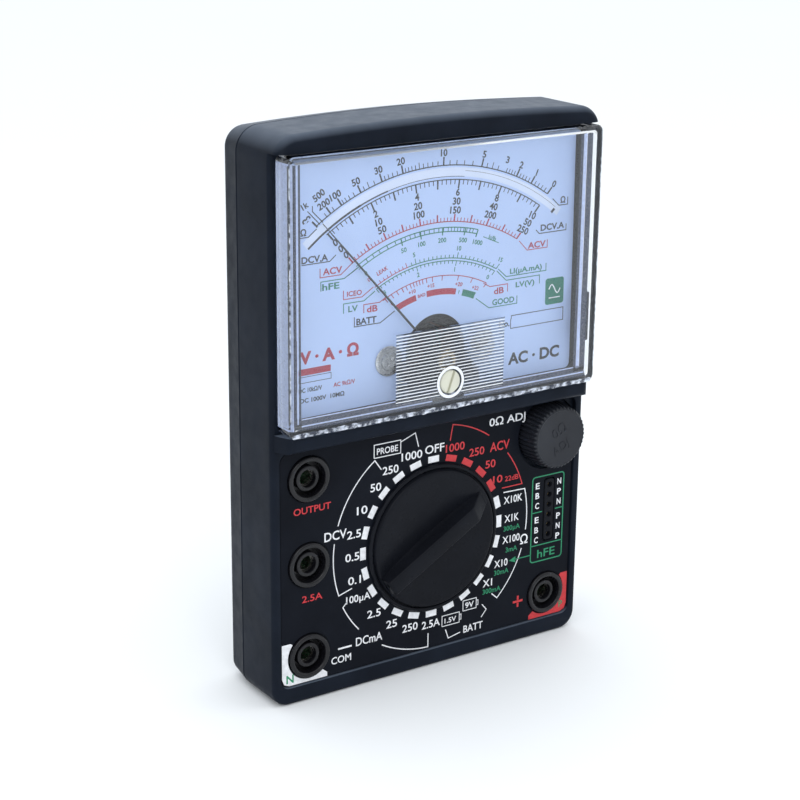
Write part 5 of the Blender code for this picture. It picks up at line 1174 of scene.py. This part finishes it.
def studio():
    bpy.ops.mesh.primitive_plane_add(size=6.0, location=(0, 0, 0))
    floor = bpy.context.object
    floor.name = "studio_floor"
    n = Nodes("floor_paper")
    n.link(n.ramp(n.noise(3.0), [(0.2, (0.94, 0.955, 0.975)), (0.8, (0.955, 0.97, 0.99))]),
           n.shader.inputs["Base Color"])
    n.set(Roughness=0.75)
    floor.data.materials.append(n.material)

    world = bpy.data.worlds.new("studio_world")
    bpy.context.scene.world = world
    world.use_nodes = True
    tree = world.node_tree
    back = tree.nodes["Background"]
    aim = tree.nodes.new("ShaderNodeVectorMath")
    aim.operation = "DOT_PRODUCT"
    aim.inputs[1].default_value = (0.0, 0.5, 0.87)
    tree.links.new(tree.nodes.new("ShaderNodeTexCoord").outputs["Generated"], aim.inputs[0])
    spread = tree.nodes.new("ShaderNodeMapRange")
    spread.inputs["From Min"].default_value = -0.5
    spread.inputs["From Max"].default_value = 0.87
    tree.links.new(aim.outputs["Value"], spread.inputs["Value"])
    ramp = tree.nodes.new("ShaderNodeValToRGB")
    for element, level in zip(ramp.color_ramp.elements, (0.30, 1.28)):
        element.color = (level * 0.93, level * 0.97, level, 1.0)
    tree.links.new(spread.outputs["Result"], ramp.inputs["Fac"])
    tree.links.new(ramp.outputs["Color"], back.inputs["Color"])
    back.inputs["Strength"].default_value = 1.0
    bpy.context.scene.view_settings.view_transform = "Standard"

    def lamp(name, spot, target, size, watts, colour):
        data = bpy.data.lights.new(name, "AREA")
        data.shape = "RECTANGLE"
        data.size = size[0]
        data.size_y = size[1]
        data.energy = watts
        data.color = colour
        item = bpy.data.objects.new(name, data)
        item.location = spot
        item.rotation_euler = (Vector(target) - Vector(spot)).to_track_quat("-Z", "Y").to_euler()
        bpy.context.scene.collection.objects.link(item)

    lamp("key", (-0.15, -0.35, 0.95), (0, 0, 0.05), (0.9, 0.9), 1.5, (1.0, 0.99, 0.97))
    lamp("front", (-0.5, -1.1, 0.7), (0, 0, 0.08), (0.7, 0.7), 4.0, (0.97, 0.98, 1.0))
    lamp("right", (0.9, -0.7, 0.5), (0, 0, 0.07), (0.6, 0.8), 1.0, (0.95, 0.97, 1.0))


def camera():
    yaw, pitch, roll = 0.59658, -0.30549, 0.01100
    forward = Vector((math.sin(yaw) * math.cos(pitch), math.cos(yaw) * math.cos(pitch), math.sin(pitch)))
    right = Vector((math.cos(yaw), -math.sin(yaw), 0.0))
    up = right.cross(forward)
    x_axis = right * math.cos(roll) + up * math.sin(roll)
    y_axis = up * math.cos(roll) - right * math.sin(roll)
    data = bpy.data.cameras.new("camera")
    data.lens = 1923.2 * 36.0 / 800.0
    data.sensor_width = 36.0
    data.clip_start = 0.01
    item = bpy.data.objects.new("camera", data)
    matrix = Matrix((x_axis, y_axis, -forward)).transposed().to_4x4()
    matrix.translation = place(-278.08, -393.29, 190.41 + SELECTOR_Z)
    item.matrix_world = matrix
    bpy.context.scene.collection.objects.link(item)
    bpy.context.scene.camera = item


camera()
studio()
front_case()
rear_case()
control_panel()
meter_cover()
rib_crests()
dial()
panel_print()
selector()
ohm_knob()
jacks()
socket()
zero_screw()
screws()
pointer()
wiring()
cover_edges()
film_bead()
finish_cad_nodes()
